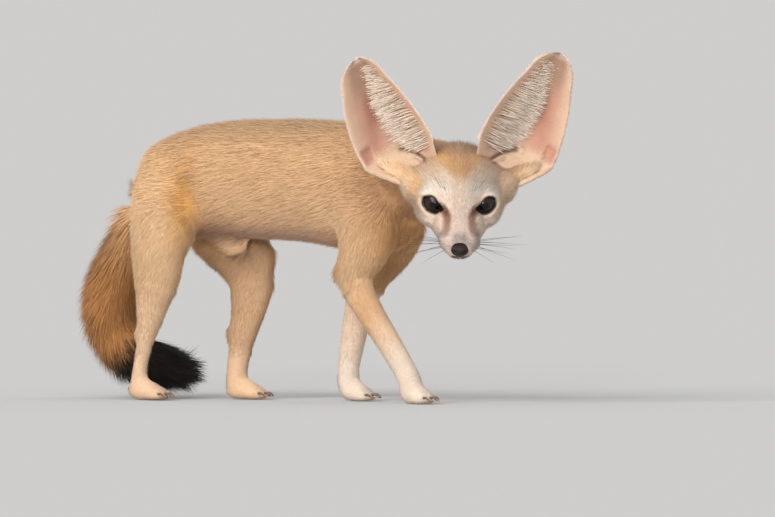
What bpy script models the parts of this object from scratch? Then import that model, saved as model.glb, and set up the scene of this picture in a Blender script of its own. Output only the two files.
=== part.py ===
"""A fennec fox at life size, standing, with its head turned to its right.

Lengths here are in millimetres and are turned into metres when a mesh is made. The body runs along
+X, its left is +Y, and all four soles rest at Z = 0. The head, with its ears, eyes and nose, is
described in a frame of its own: +X along the muzzle, +Y to its left, +Z up, from the point midway
between the eyes.
"""

import math
import random

import bmesh
import bpy
from mathutils import Euler, Matrix, Vector

MM = 0.001
GAP = 0.3  # clearance between neighbouring pieces
SEED = 11

# Driving sizes of the animal, coat included.
BACK_HEIGHT = 199.5
BELLY_HEIGHT = 111.0
TRUNK_HALF_WIDTH = 32.0
HEAD_YAW = -60.8  # the face turns this far from the body's heading, in degrees
HEAD_PITCH = 26.0  # the muzzle points down by this much
HEAD_ROLL = 1.3
HEAD_PLACE = (171.0, -62.3, 138.6)  # midway between the eyes
EYE_RADIUS = 9.0
EYE_PLACE = (-7.0, 16.0, -0.6)
EYE_OUTWARD = 20.0
EAR_LENGTH = {1: 88.5, -1: 85.0}  # the left ear, then the right
EAR_SHELL = 2.4
TAIL_CORE_SHARE = 0.5  # the tail's core, as a share of the coat's radius

BODY_VOXEL = 1.8
HEAD_VOXEL = 1.2
LID_VOXEL = 0.8
BODY_TRIANGLES = 4300
HEAD_TRIANGLES = 2600

COLOURS = {
    "sand": ((0.62, 0.42, 0.25), 0.9),
    "cream": ((0.78, 0.64, 0.49), 0.9),
    "pink_skin": ((0.72, 0.45, 0.36), 0.8),
    "tail_coat": ((0.50, 0.32, 0.18), 0.9),
    "tail_tip": ((0.03, 0.025, 0.025), 0.9),
    "eye_dark": ((0.012, 0.009, 0.008), 0.08),
    "nose_leather": ((0.035, 0.022, 0.024), 0.35),
}


# Scene and objects


def clear_scene():
    for obj in list(bpy.data.objects):
        bpy.data.objects.remove(obj, do_unlink=True)


def new_collection(name):
    collection = bpy.data.collections.new(name)
    bpy.context.scene.collection.children.link(collection)
    return collection


def object_from(bm, name, collection, scale=MM):
    """A mesh object from a bmesh in millimetres, with its faces turned outwards."""
    bmesh.ops.recalc_face_normals(bm, faces=bm.faces)
    bmesh.ops.scale(bm, vec=(scale,) * 3, verts=bm.verts)
    mesh = bpy.data.meshes.new(name)
    bm.to_mesh(mesh)
    bm.free()
    obj = bpy.data.objects.new(name, mesh)
    collection.objects.link(obj)
    return obj


def bake(obj):
    """Applies every modifier of the object to its mesh."""
    bpy.context.view_layer.update()
    graph = bpy.context.evaluated_depsgraph_get()
    mesh = bpy.data.meshes.new_from_object(obj.evaluated_get(graph))
    old = obj.data
    obj.modifiers.clear()
    obj.data = mesh
    bpy.data.meshes.remove(old)
    return obj


def triangulated(obj):
    bm = bmesh.new()
    bm.from_mesh(obj.data)
    bmesh.ops.triangulate(bm, faces=bm.faces)
    bm.to_mesh(obj.data)
    bm.free()


def islands(obj):
    """The vertex indices of each connected surface of the object."""
    bm = bmesh.new()
    bm.from_mesh(obj.data)
    found, seen = [], set()
    for start in bm.verts:
        if start.index in seen:
            continue
        island, stack = [], [start]
        seen.add(start.index)
        while stack:
            vertex = stack.pop()
            island.append(vertex.index)
            for edge in vertex.link_edges:
                other = edge.other_vert(vertex)
                if other.index not in seen:
                    seen.add(other.index)
                    stack.append(other)
        found.append(island)
    bm.free()
    return found


def with_only(obj, island, name, collection):
    """A new object that holds one connected surface of this one."""
    keep = set(island)
    bm = bmesh.new()
    bm.from_mesh(obj.data)
    bm.verts.ensure_lookup_table()
    bmesh.ops.delete(bm, geom=[v for v in bm.verts if v.index not in keep], context="VERTS")
    return object_from(bm, name, collection, 1.0)


def keep_largest(obj):
    """Drops every connected surface but the largest."""
    found = sorted(islands(obj), key=len)
    if len(found) > 1:
        loose = {index for island in found[:-1] for index in island}
        bm = bmesh.new()
        bm.from_mesh(obj.data)
        bm.verts.ensure_lookup_table()
        bmesh.ops.delete(bm, geom=[v for v in bm.verts if v.index in loose], context="VERTS")
        bm.to_mesh(obj.data)
        bm.free()
    return obj


def boolean(obj, other, operation, solver="EXACT"):
    """Cuts or joins with an object or with a whole collection, and applies it."""
    modifier = obj.modifiers.new("boolean", "BOOLEAN")
    modifier.operation = operation
    modifier.solver = solver
    if isinstance(other, bpy.types.Collection):
        modifier.operand_type = "COLLECTION"
        modifier.collection = other
    else:
        modifier.object = other
    return bake(obj)


def gather(obj, collection):
    """Adds the meshes of a collection to the object, still overlapping it, and empties the collection."""
    bm = bmesh.new()
    bm.from_mesh(obj.data)
    for other in collection.objects:
        bm.from_mesh(other.data)
    bm.to_mesh(obj.data)
    bm.free()
    empty_collection(collection)


def empty_collection(collection):
    for obj in list(collection.objects):
        bpy.data.objects.remove(obj, do_unlink=True)


def swollen(obj, amount, name, collection):
    """A copy of the object, grown along its normals, as a cutter that leaves a gap."""
    copy = obj.copy()
    copy.data = obj.data.copy()
    copy.name = name
    collection.objects.link(copy)
    modifier = copy.modifiers.new("swell", "DISPLACE")
    modifier.strength = amount * MM
    modifier.mid_level = 0.0
    return bake(copy)


def hide(obj):
    obj.hide_render = True
    obj.display_type = "WIRE"


# Shapes


def ellipsoid(bm, centre, radii, turn=(0.0, 0.0, 0.0), segments=20, rings=12):
    turned = Euler([math.radians(a) for a in turn], "YXZ").to_matrix().to_4x4()
    place = Matrix.Translation(Vector(centre)) @ turned
    place = place @ Matrix.Diagonal((*radii, 1.0))
    bmesh.ops.create_uvsphere(bm, u_segments=segments, v_segments=rings, radius=1.0, matrix=place)


def move_new(bm, before, matrix):
    """Places the vertices that were added since the set was taken."""
    bmesh.ops.transform(bm, matrix=matrix, verts=[v for v in bm.verts if v not in before])


def spline(stations, steps):
    """Rows of numbers on a smooth curve through the stations, with this many steps in each span."""
    rows = [Vector(s) for s in stations]
    rows = [rows[0] * 2 - rows[1], *rows, rows[-1] * 2 - rows[-2]]
    smooth = []
    for k in range(1, len(rows) - 2):
        a, b, c, d = rows[k - 1 : k + 3]
        slope, bend, twist = c - a, 2 * a - 5 * b + 4 * c - d, 3 * b - a - 3 * c + d
        for step in range(steps):
            t = step / steps
            smooth.append(b + 0.5 * (slope * t + bend * t**2 + twist * t**3))
    smooth.append(rows[-2])
    return smooth


def frames(points, side):
    """A tangent, a side vector and an upright vector at each point of a path."""
    found = []
    for k, point in enumerate(points):
        tangent = (points[min(k + 1, len(points) - 1)] - points[max(k - 1, 0)]).normalized()
        across = (side - tangent * side.dot(tangent)).normalized()
        found.append((point, across, tangent.cross(across)))
    return found


def close_loft(bm, rings):
    """Quads between like rings of vertices, with a fan of triangles on each end."""
    for near, far in zip(rings, rings[1:]):
        for k in range(len(near)):
            j = (k + 1) % len(near)
            bm.faces.new((near[k], near[j], far[j], far[k]))
    for ring in (rings[0], rings[-1]):
        centre = bm.verts.new(sum((v.co for v in ring), Vector()) / len(ring))
        for k in range(len(ring)):
            bm.faces.new((ring[k], ring[(k + 1) % len(ring)], centre))


def tube(bm, stations, side=(0.0, 1.0, 0.0), steps=4, sides=18):
    """A limb or a trunk: each station is x, y, z, the half depth and the half width along the side."""
    rows = spline([tuple(s) for s in stations], steps)
    path = frames([Vector(r[:3]) for r in rows], Vector(side))
    rings = []
    for row, (centre, across, upright) in zip(rows, path):
        angles = [2 * math.pi * k / sides for k in range(sides)]
        rings.append(
            [
                bm.verts.new(centre + upright * (row[3] * math.sin(a)) + across * (row[4] * math.cos(a)))
                for a in angles
            ]
        )
    close_loft(bm, rings)


def blade(bm, rows, tip):
    """A flat lock: rows of a left edge, a ridge and a right edge, closed at the root, with a sharp tip."""
    rings = [[bm.verts.new(point) for point in row] for row in rows]
    for near, far in zip(rings, rings[1:]):
        for k in range(3):
            j = (k + 1) % 3
            bm.faces.new((near[k], near[j], far[j], far[k]))
    bm.faces.new(rings[0])
    point = bm.verts.new(tip)
    for k in range(3):
        bm.faces.new((rings[-1][k], rings[-1][(k + 1) % 3], point))


def fused(obj, voxel, triangles, smoothing):
    """One skin over the overlapping shapes of an object: remeshed, relaxed and, but for 0, thinned out."""
    remesh = obj.modifiers.new("fuse", "REMESH")
    remesh.mode = "VOXEL"
    remesh.voxel_size = voxel * MM
    relax = obj.modifiers.new("relax", "SMOOTH")
    relax.factor = 0.5
    relax.iterations = smoothing
    bake(obj)
    if not triangles:
        return keep_largest(obj)
    triangulated(obj)
    thin = obj.modifiers.new("thin", "DECIMATE")
    thin.ratio = triangles / len(obj.data.polygons)
    thin.use_collapse_triangulate = True
    return keep_largest(bake(obj))


def slab(name, centre, normal, half_sizes, collection, thickness=GAP):
    """A thin cutter square to the normal, with half sizes along the body and across it."""
    normal = Vector(normal).normalized()
    along = Vector((1, 0, 0))
    if abs(normal.x) > 0.9:
        along = Vector((0, 0, 1))
    along = (along - normal * along.dot(normal)).normalized()
    turn = Matrix((along, normal.cross(along), normal)).transposed().to_4x4()
    bm = bmesh.new()
    size = Matrix.Diagonal((2 * half_sizes[0], 2 * half_sizes[1], thickness, 1.0))
    bmesh.ops.create_cube(bm, size=1.0, matrix=Matrix.Translation(Vector(centre)) @ turn @ size)
    cutter = object_from(bm, name, collection)
    hide(cutter)
    return cutter


# The head's own frame


def head_matrix():
    """Places the head's frame in the body's, in millimetres."""
    turn = (
        Matrix.Rotation(math.radians(HEAD_YAW), 4, "Z")
        @ Matrix.Rotation(math.radians(HEAD_PITCH), 4, "Y")
        @ Matrix.Rotation(math.radians(-HEAD_ROLL), 4, "X")
    )
    return Matrix.Translation(Vector(HEAD_PLACE)) @ turn


def mirrored(row, sign):
    return (row[0], row[1] * sign, *row[2:])


SKULL_LOFT = (  # along the muzzle, top, bottom, half width
    (36.5, -10.5, -20.5, 6.5),
    (32.0, -9.0, -24.5, 9.5),
    (25.0, -6.5, -25.5, 12.0),
    (17.0, -3.0, -25.5, 15.2),
    (9.0, 2.0, -25.5, 19.2),
    (1.0, 8.5, -25.5, 22.6),
    (-7.0, 15.0, -25.5, 24.5),
    (-15.0, 21.0, -24.0, 29.0),
    (-23.0, 25.5, -21.0, 32.5),
    (-31.0, 27.5, -17.5, 32.5),
    (-39.0, 25.0, -13.0, 29.0),
    (-47.0, 18.0, -6.0, 21.0),
    (-52.0, 11.0, 1.0, 12.0),
)
CHEEK = ((-15.0, 17.0, -10.0), (20.0, 17.0, 11.0), (45.0, 0.0))
RUFF = ((-24.0, 25.0, 0.5), (16.0, 18.0, 12.0), (34.0, 0.0))
TEMPLE = ((-31.0, 36.0, 8.4), (9.4, 26.0, 4.8), (21.5, 38.0))
CROWN = ((-41.0, 0.0, 16.5), (16.0, 21.0, 12.0))
ORBIT = ((-11.0, 16.5, 0.5), (12.8, 14.0, 13.5), (0.0, 0.0))
WHISKER_PAD = ((25.0, 6.6, -14.8), (9.0, 7.6, 6.6), (0.0, 0.0))
CHIN = ((24.0, 0.0, -23.0), (8.5, 6.2, 4.2))


def add_head_shapes(bm):
    """The head's overlapping shapes, in its own frame, moved to its place."""
    before = set(bm.verts)
    stations = [(f, 0.0, (top + low) / 2, (top - low) / 2, wide) for f, top, low, wide in SKULL_LOFT]
    tube(bm, stations, steps=3, sides=24)
    ellipsoid(bm, *CHIN)
    ellipsoid(bm, *CROWN)
    for sign in (1, -1):
        for centre, radii, (roll, pitch) in (CHEEK, RUFF, TEMPLE, ORBIT, WHISKER_PAD):
            ellipsoid(bm, mirrored(centre, sign), radii, (roll * sign, pitch, 0.0))
    move_new(bm, before, head_matrix())


# Torso, neck and legs

TORSO = (  # x, top, bottom, half width
    (-119.0, 149.0, 134.0, 8.0),
    (-113.0, 161.0, 124.0, 15.0),
    (-104.0, 173.0, 115.0, 20.0),
    (-91.0, 184.0, 110.0, 25.0),
    (-66.0, 193.5, 111.0, 27.0),
    (-35.0, 198.5, 112.0, 28.0),
    (-5.0, BACK_HEIGHT, BELLY_HEIGHT, 30.0),
    (25.0, BACK_HEIGHT, 109.0, TRUNK_HALF_WIDTH),
    (52.0, 198.0, 105.0, TRUNK_HALF_WIDTH),
    (76.0, 196.0, 103.0, 30.0),
    (95.0, 190.0, 107.0, 25.0),
    (109.0, 176.0, 120.0, 16.0),
)
NECK = (
    (68.0, 0.0, 158.0, 39.0, 28.0),
    (94.0, -2.0, 157.0, 34.0, 27.0),
    (118.0, -8.0, 158.0, 28.5, 25.0),
    (138.0, -18.0, 158.5, 24.5, 23.5),
    (153.0, -31.0, 156.0, 21.0, 22.0),
    (163.0, -46.0, 150.0, 17.0, 19.0),
)
NEAR_HIND = (
    (-80.0, -12.0, 168.0, 21.0, 11.0),
    (-82.0, -17.0, 146.0, 27.5, 14.5),
    (-83.4, -23.0, 122.0, 27.0, 17.0),
    (-85.5, -26.5, 104.0, 22.0, 15.5),
    (-86.4, -28.0, 85.0, 19.0, 12.5),
    (-90.0, -27.5, 70.0, 14.4, 10.3),
    (-93.0, -26.8, 56.0, 11.2, 8.6),
    (-97.2, -26.0, 40.0, 7.3, 6.4),
    (-100.6, -25.5, 27.0, 6.2, 5.9),
    (-102.5, -25.5, 14.0, 6.6, 6.4),
    (-101.5, -25.5, 6.0, 6.4, 6.6),
)
FAR_HIND = (
    (-78.0, 12.0, 166.0, 24.0, 11.0),
    (-73.0, 17.5, 145.0, 29.0, 14.5),
    (-60.0, 22.5, 121.0, 29.0, 16.5),
    (-47.0, 24.0, 104.0, 24.5, 14.5),
    (-39.5, 24.0, 87.0, 20.0, 12.0),
    (-39.6, 23.0, 72.0, 17.0, 10.0),
    (-42.6, 22.5, 56.0, 13.6, 8.6),
    (-46.0, 22.0, 41.0, 11.0, 7.6),
    (-48.5, 21.5, 27.0, 8.6, 7.2),
    (-50.0, 21.0, 14.0, 8.2, 7.2),
    (-49.0, 21.0, 6.0, 7.6, 7.0),
)
NEAR_FORE = (
    (60.0, -16.0, 174.0, 24.0, 11.0),
    (72.0, -21.0, 150.0, 27.0, 14.0),
    (80.0, -26.0, 126.0, 25.5, 15.5),
    (78.0, -29.0, 107.0, 21.0, 14.5),
    (72.0, -30.5, 91.0, 15.5, 12.0),
    (75.5, -30.0, 77.0, 12.3, 10.6),
    (84.5, -29.0, 62.0, 10.8, 10.0),
    (95.5, -28.5, 46.0, 10.0, 9.4),
    (105.5, -28.0, 31.0, 9.6, 8.8),
    (112.5, -27.5, 19.0, 9.2, 8.6),
    (116.0, -27.0, 9.0, 8.8, 8.6),
)
FAR_FORE = (
    (60.0, 16.0, 174.0, 24.0, 11.0),
    (70.0, 21.0, 150.0, 27.0, 14.0),
    (75.0, 26.0, 126.0, 24.5, 15.0),
    (68.0, 28.0, 107.0, 20.0, 13.5),
    (57.0, 27.0, 91.0, 16.0, 12.0),
    (49.0, 25.5, 75.0, 13.2, 10.4),
    (44.8, 23.5, 56.0, 11.2, 9.3),
    (41.8, 21.8, 37.0, 9.8, 8.4),
    (39.6, 20.8, 22.0, 8.8, 7.9),
    (40.0, 20.0, 9.0, 8.4, 7.9),
)
LEG_KNOBS = (  # elbows and the points of the hocks: centre and radii
    ((57.5, -30.5, 91.5), (5.0, 5.0, 7.5)),
    ((40.0, 26.5, 90.0), (5.0, 5.0, 7.5)),
    ((-103.0, -26.0, 47.0), (4.4, 4.2, 7.0)),
    ((-56.0, 22.3, 46.0), (5.0, 4.4, 8.0)),
    ((-75.0, -28.5, 94.0), (10.0, 9.0, 14.0)),
    ((-30.0, 25.0, 100.0), (11.0, 9.0, 14.0)),
)
BELLY_TUFT = (
    (-50.0, 0.0, 117.0, 9.0, 8.0),
    (-38.0, 0.0, 109.0, 9.5, 7.5),
    (-29.0, 0.0, 102.0, 6.5, 5.5),
)
TAIL_ROOT = (
    (-98.0, 0.0, 160.0, 12.0, 12.0),
    (-112.0, 1.5, 151.0, 10.0, 10.5),
    (-118.0, 2.5, 143.0, 7.5, 8.0),
)

PAWS = {  # node, heel x, y, turn about Z in degrees, toe reach
    "paw_fore_right": (112.5, -27.0, -7.0, 15.0),
    "paw_fore_left": (40.5, 20.0, -3.0, 15.0),
    "foot_hind_right": (-103.0, -25.5, -5.0, 19.0),
    "foot_hind_left": (-50.0, 21.0, 0.0, 19.0),
}
TOE_SPREAD = (-6.4, -2.2, 2.2, 6.4)
TOE_STEP = (-3.0, 0.0, 0.0, -3.0)
TOE_RADII = (6.6, 3.1, 5.6)
PALM = (0.28, 7.0)  # its middle: share of the toe's reach, and height
PALM_RADII = (0.78, 8.2, 8.4)  # the first is a share of the reach
TOE_HEIGHT = 4.2
TOE_DROOP = 12.0
CLAW_LENGTH = 6.0  # outside the toe
CLAW_SET = 3.0  # inside it
CLAW_RADII = (1.15, 0.25)
CLAW_OUT = 0.6  # its middle, ahead of the toe
CLAW_HEIGHT = 3.6
CLAW_SLOPE = 108.0
SHARP_ANGLE = 38.0


def paw_matrix(name):
    x, y, turn, _ = PAWS[name]
    return Matrix.Translation((x, y, 0.0)) @ Matrix.Rotation(math.radians(turn), 4, "Z")


def add_paw(bm, name):
    """A palm and four toes, sunk a little below the floor, where they are cut flat."""
    reach = PAWS[name][3]
    before = set(bm.verts)
    ellipsoid(bm, (reach * PALM[0], 0.0, PALM[1]), (reach * PALM_RADII[0], *PALM_RADII[1:]))
    for across, step in zip(TOE_SPREAD, TOE_STEP):
        ellipsoid(bm, (reach + step, across, TOE_HEIGHT), TOE_RADII, (0.0, TOE_DROOP, 0.0), 14, 8)
    move_new(bm, before, paw_matrix(name))


def body_mesh(collection):
    """Torso, neck, legs and a rough head, fused into one surface."""
    bm = bmesh.new()
    trunk = [(x, 0.0, (top + low) / 2, (top - low) / 2, wide) for x, top, low, wide in TORSO]
    tube(bm, trunk, sides=24)
    for chain in (NECK, NEAR_HIND, FAR_HIND, NEAR_FORE, FAR_FORE, BELLY_TUFT, TAIL_ROOT):
        tube(bm, chain)
    for centre, radii in LEG_KNOBS:
        ellipsoid(bm, centre, radii)
    for name in PAWS:
        add_paw(bm, name)
    add_head_shapes(bm)
    return fused(object_from(bm, "body", collection), BODY_VOXEL, BODY_TRIANGLES, 6)


NECK_CUT = ((94.0, -1.0, 160.0), (0.853, -0.05, 0.52))
HEAD_CUT = ((143.0, -24.0, 158.0), (0.672, -0.683, -0.286))
LIMB_CUTS = {  # centre, normal, half sizes
    "neck_base": (*NECK_CUT, (62.0, 46.0)),
    "shoulder_right": ((80.0, -27.0, 119.0), (0.0, -0.753, -0.658), (44.0, 34.0)),
    "shoulder_left": ((72.0, 27.0, 119.0), (0.0, 0.753, -0.658), (44.0, 34.0)),
    "hip_right": ((-86.0, -24.0, 123.0), (0.0, -0.78, -0.62), (46.0, 34.0)),
    "hip_left": ((-62.0, 24.0, 123.0), (0.0, 0.78, -0.62), (52.0, 34.0)),
    "elbow_right": ((73.0, -30.0, 83.0), (0.42, 0.0, -0.91), (26.0, 17.0)),
    "elbow_left": ((53.0, 26.0, 83.0), (-0.35, 0.0, -0.94), (24.0, 15.0)),
    "wrist_right": ((110.0, -27.6, 23.0), (0.45, 0.0, -0.89), (17.0, 15.0)),
    "wrist_left": ((39.8, 20.8, 22.0), (0.0, 0.0, -1.0), (16.0, 13.0)),
    "knee_right": ((-87.0, -28.0, 82.0), (-0.2, 0.0, -0.98), (27.0, 18.0)),
    "knee_left": ((-39.0, 24.0, 84.0), (-0.1, 0.0, -0.99), (27.0, 17.0)),
    "hock_right": ((-99.0, -26.0, 37.0), (-0.1, 0.0, -0.99), (15.0, 13.0)),
    "hock_left": ((-48.0, 22.0, 35.0), (-0.1, 0.0, -0.99), (17.0, 13.0)),
}
BODY_NODES = {  # node: a point near its middle, and its colour
    "torso": ((-5.0, 0.0, 155.0), "sand"),
    "neck": ((120.0, -10.0, 160.0), "sand"),
    "foreleg_right_upper": ((76.0, -33.0, 100.0), "sand"),
    "foreleg_right_lower": ((92.0, -29.0, 52.0), "cream"),
    "paw_fore_right": ((118.0, -27.0, 8.0), "cream"),
    "foreleg_left_upper": ((66.0, 30.0, 100.0), "sand"),
    "foreleg_left_lower": ((43.0, 23.0, 50.0), "cream"),
    "paw_fore_left": ((45.0, 20.0, 8.0), "cream"),
    "thigh_right": ((-86.0, -30.0, 105.0), "sand"),
    "shank_right": ((-92.0, -27.0, 60.0), "sand"),
    "foot_hind_right": ((-98.0, -25.5, 15.0), "cream"),
    "thigh_left": ((-50.0, 28.0, 105.0), "sand"),
    "shank_left": ((-42.0, 23.0, 60.0), "sand"),
    "foot_hind_left": ((-45.0, 21.0, 15.0), "cream"),
}


def cut_body(body, parts, cutters):
    """Parts the fused body with thin cuts, levels the soles, and names each piece by its place."""
    for name, (centre, normal, half_sizes) in LIMB_CUTS.items():
        slab(f"cut_{name}", centre, normal, half_sizes, cutters)
    slab("cut_head", HEAD_CUT[0], HEAD_CUT[1], (75.0, 75.0), cutters)
    slab("cut_floor", (0.0, 0.0, -15.0), (0.0, 0.0, 1.0), (200.0, 120.0), cutters, 30.0)
    boolean(body, cutters, "DIFFERENCE")
    pieces = {}
    for island in islands(body):
        middle = sum((body.data.vertices[i].co for i in island), Vector()) / len(island) / MM
        name = min(BODY_NODES, key=lambda n: (Vector(BODY_NODES[n][0]) - middle).length)
        distance = (Vector(BODY_NODES[name][0]) - middle).length
        if distance < 45.0 and len(island) > len(pieces.get(name, [])):
            pieces[name] = island
    nodes = {}
    for name, island in pieces.items():
        nodes[name] = with_only(body, island, name, parts)
    bpy.data.objects.remove(body, do_unlink=True)
    return nodes


def add_claws(node, name, helpers):
    """Four claws, set into the toes of a paw."""
    place = paw_matrix(name)
    reach = PAWS[name][3]
    for across, step in zip(TOE_SPREAD, TOE_STEP):
        bm = bmesh.new()
        base, tip = CLAW_RADII
        length = CLAW_LENGTH + CLAW_SET
        bmesh.ops.create_cone(bm, cap_ends=True, segments=6, radius1=base, radius2=tip, depth=length)
        lie = Matrix.Translation((reach + step + TOE_RADII[0] + CLAW_OUT, across, CLAW_HEIGHT))
        lie = lie @ Matrix.Rotation(math.radians(CLAW_SLOPE), 4, "Y")
        bmesh.ops.transform(bm, matrix=place @ lie, verts=bm.verts)
        object_from(bm, "claw", helpers)
    boolean(node, helpers, "UNION")
    empty_collection(helpers)
    return keep_largest(node)


# Head pieces


def eye_matrix(sign):
    """An eye's frame: its X looks out of the socket."""
    return (
        head_matrix()
        @ Matrix.Translation(Vector(mirrored(EYE_PLACE, sign)))
        @ Matrix.Rotation(math.radians(EYE_OUTWARD * sign), 4, "Z")
    )


def eyeball(name, sign, collection, radius=EYE_RADIUS, segments=16, rings=10):
    bm = bmesh.new()
    turn = eye_matrix(sign) @ Matrix.Rotation(math.radians(90.0), 4, "Y") @ Matrix.Scale(radius, 4)
    bmesh.ops.create_uvsphere(bm, u_segments=segments, v_segments=rings, radius=1.0, matrix=turn)
    return object_from(bm, name, collection)


EYE_OPENING = (  # across the eye from the inner to the outer corner, upper edge, lower edge, in degrees
    (-66.0, -24.0, -30.0),
    (-46.0, 10.0, -37.0),
    (-20.0, 36.0, -35.0),
    (8.0, 47.0, -29.0),
    (34.0, 45.0, -17.0),
    (56.0, 31.0, 1.0),
    (66.0, 19.0, 13.0),
)
LID_RADIUS = 1.0
LID_LIFT = 0.5


def on_eye(across, up, radius, sign):
    """A point on a sphere round the eye, from angles in its own frame."""
    across, up = math.radians(across * sign), math.radians(up)
    return Vector((math.cos(up) * math.cos(across), math.cos(up) * math.sin(across), math.sin(up))) * radius


def add_lids(sign, helpers):
    """Upper and lower lids: rolls of skin round the almond opening."""
    for edge in (1, 2):
        bm = bmesh.new()
        points = [on_eye(row[0], row[edge], EYE_RADIUS + LID_LIFT, sign) for row in EYE_OPENING]
        tube(bm, [(*p, LID_RADIUS, LID_RADIUS) for p in points], side=(1.0, 0.0, 0.0), steps=2, sides=6)
        bmesh.ops.transform(bm, matrix=eye_matrix(sign), verts=bm.verts)
        object_from(bm, "lid", helpers)


def add_opening(sign, helpers):
    """A cone from the middle of the eye out through the almond between the lids."""
    bm = bmesh.new()
    reach = EYE_RADIUS * 2.2
    edge = [on_eye(row[0], row[1], reach, sign) for row in EYE_OPENING]
    edge += [on_eye(row[0], row[2], reach, sign) for row in reversed(EYE_OPENING)]
    ring = [bm.verts.new(point) for point in edge]
    middle = bm.verts.new(Vector())
    front = bm.verts.new(on_eye(0.0, 4.0, reach, sign))
    for near, far in zip(ring, ring[1:] + ring[:1]):
        bm.faces.new((near, far, middle))
        bm.faces.new((near, far, front))
    bmesh.ops.transform(bm, matrix=eye_matrix(sign), verts=bm.verts)
    object_from(bm, "opening", helpers)


NOSE_PAD = ((36.6, 0.0, -16.0), (4.6, 6.3, 4.0))
NOSE_BRIDGE = ((34.2, 0.0, -15.2), (4.2, 5.2, 2.8))
NOSE_TILT = 14.0
NOSE_VOXEL = 0.7
NOSE_TRIANGLES = 260
SEAT_TRIANGLES = 320
NOSTRIL = ((41.0, 3.0, -16.2), (3.2, 1.6, 1.1), (20.0, -38.0))  # centre, radii, tilt and turn outwards
NOSE_GROOVE = ((41.4, 0.0, -18.6), (3.0, 0.5, 6.0))
MOUTH_LINE = (  # along the muzzle, half width, height: from under the nose to the corner of the mouth
    (37.0, 0.0, -21.6),
    (33.0, 8.0, -22.4),
    (26.0, 11.8, -22.2),
    (18.0, 12.6, -20.4),
    (10.0, 15.0, -18.0),
)
MOUTH_DEPTH = 2.0
MOUTH_REACH = 5.0
MOUTH_HALF_GAP = 0.45


def nose_shape(bm, grow=0.0):
    for centre, radii in (NOSE_PAD, NOSE_BRIDGE):
        ellipsoid(bm, centre, [r + grow for r in radii], (0.0, NOSE_TILT, 0.0), 18, 12)


def nose_pad(parts, helpers):
    """The leather of the nose, with two nostrils and a groove down its middle."""
    bm = bmesh.new()
    nose_shape(bm)
    bmesh.ops.transform(bm, matrix=head_matrix(), verts=bm.verts)
    nose = fused(object_from(bm, "nose_pad", parts), NOSE_VOXEL, NOSE_TRIANGLES, 2)
    for sign in (1, -1):
        bm = bmesh.new()
        centre, radii, (tilt, outward) = NOSTRIL
        ellipsoid(bm, mirrored(centre, sign), radii, (0.0, tilt, outward * sign), 10, 6)
        bmesh.ops.transform(bm, matrix=head_matrix(), verts=bm.verts)
        object_from(bm, "nostril", helpers)
    bm = bmesh.new()
    groove = Matrix.Translation(Vector(NOSE_GROOVE[0])) @ Matrix.Diagonal((*NOSE_GROOVE[1], 1.0))
    bmesh.ops.create_cube(bm, size=1.0, matrix=groove)
    bmesh.ops.transform(bm, matrix=head_matrix(), verts=bm.verts)
    object_from(bm, "groove", helpers)
    boolean(nose, helpers, "DIFFERENCE")
    empty_collection(helpers)
    return keep_largest(nose)


def mouth_cutter(helpers):
    """A thin wedge from one corner of the mouth round the front to the other, open towards the lips."""
    bm = bmesh.new()
    line = spline([*(mirrored(p, -1) for p in reversed(MOUTH_LINE[1:])), *MOUTH_LINE], 3)
    rings = []
    for k, point in enumerate(line):
        along = line[min(k + 1, len(line) - 1)] - line[max(k - 1, 0)]
        out = Vector((along.y, -along.x, 0.0)).normalized()
        lips = point + out * MOUTH_REACH
        gap = Vector((0.0, 0.0, MOUTH_HALF_GAP))
        corners = (point - out * MOUTH_DEPTH, lips - gap, lips + gap)
        rings.append([bm.verts.new(corner) for corner in corners])
    close_loft(bm, rings)
    bmesh.ops.transform(bm, matrix=head_matrix(), verts=bm.verts)
    object_from(bm, "mouth", helpers)


def build_head(parts, helpers):
    """The head: fused shapes, lids, sockets, the line of the mouth and a seat for the nose."""
    bm = bmesh.new()
    add_head_shapes(bm)
    tube(bm, NECK)
    head = fused(object_from(bm, "head", parts), HEAD_VOXEL, 0, 14)
    for sign in (1, -1):
        add_opening(sign, helpers)
    boolean(head, helpers, "DIFFERENCE")
    empty_collection(helpers)
    for sign in (1, -1):
        add_lids(sign, helpers)
    gather(head, helpers)
    fused(head, LID_VOXEL, HEAD_TRIANGLES, 2)
    for side, sign in (("left", 1), ("right", -1)):
        eyeball(f"socket_{side}", sign, helpers, EYE_RADIUS + GAP, 20, 12)
    mouth_cutter(helpers)
    bm = bmesh.new()
    nose_shape(bm, GAP)
    bmesh.ops.transform(bm, matrix=head_matrix(), verts=bm.verts)
    fused(object_from(bm, "nose_seat", helpers), NOSE_VOXEL, SEAT_TRIANGLES, 2)
    normal = Vector(HEAD_CUT[1]).normalized()
    behind = Vector(HEAD_CUT[0]) - normal * (100.0 - GAP / 2)
    slab("behind_head", behind, normal, (150.0, 150.0), helpers, 200.0)
    boolean(head, helpers, "DIFFERENCE")
    empty_collection(helpers)
    return keep_largest(head)


# Ears

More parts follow.
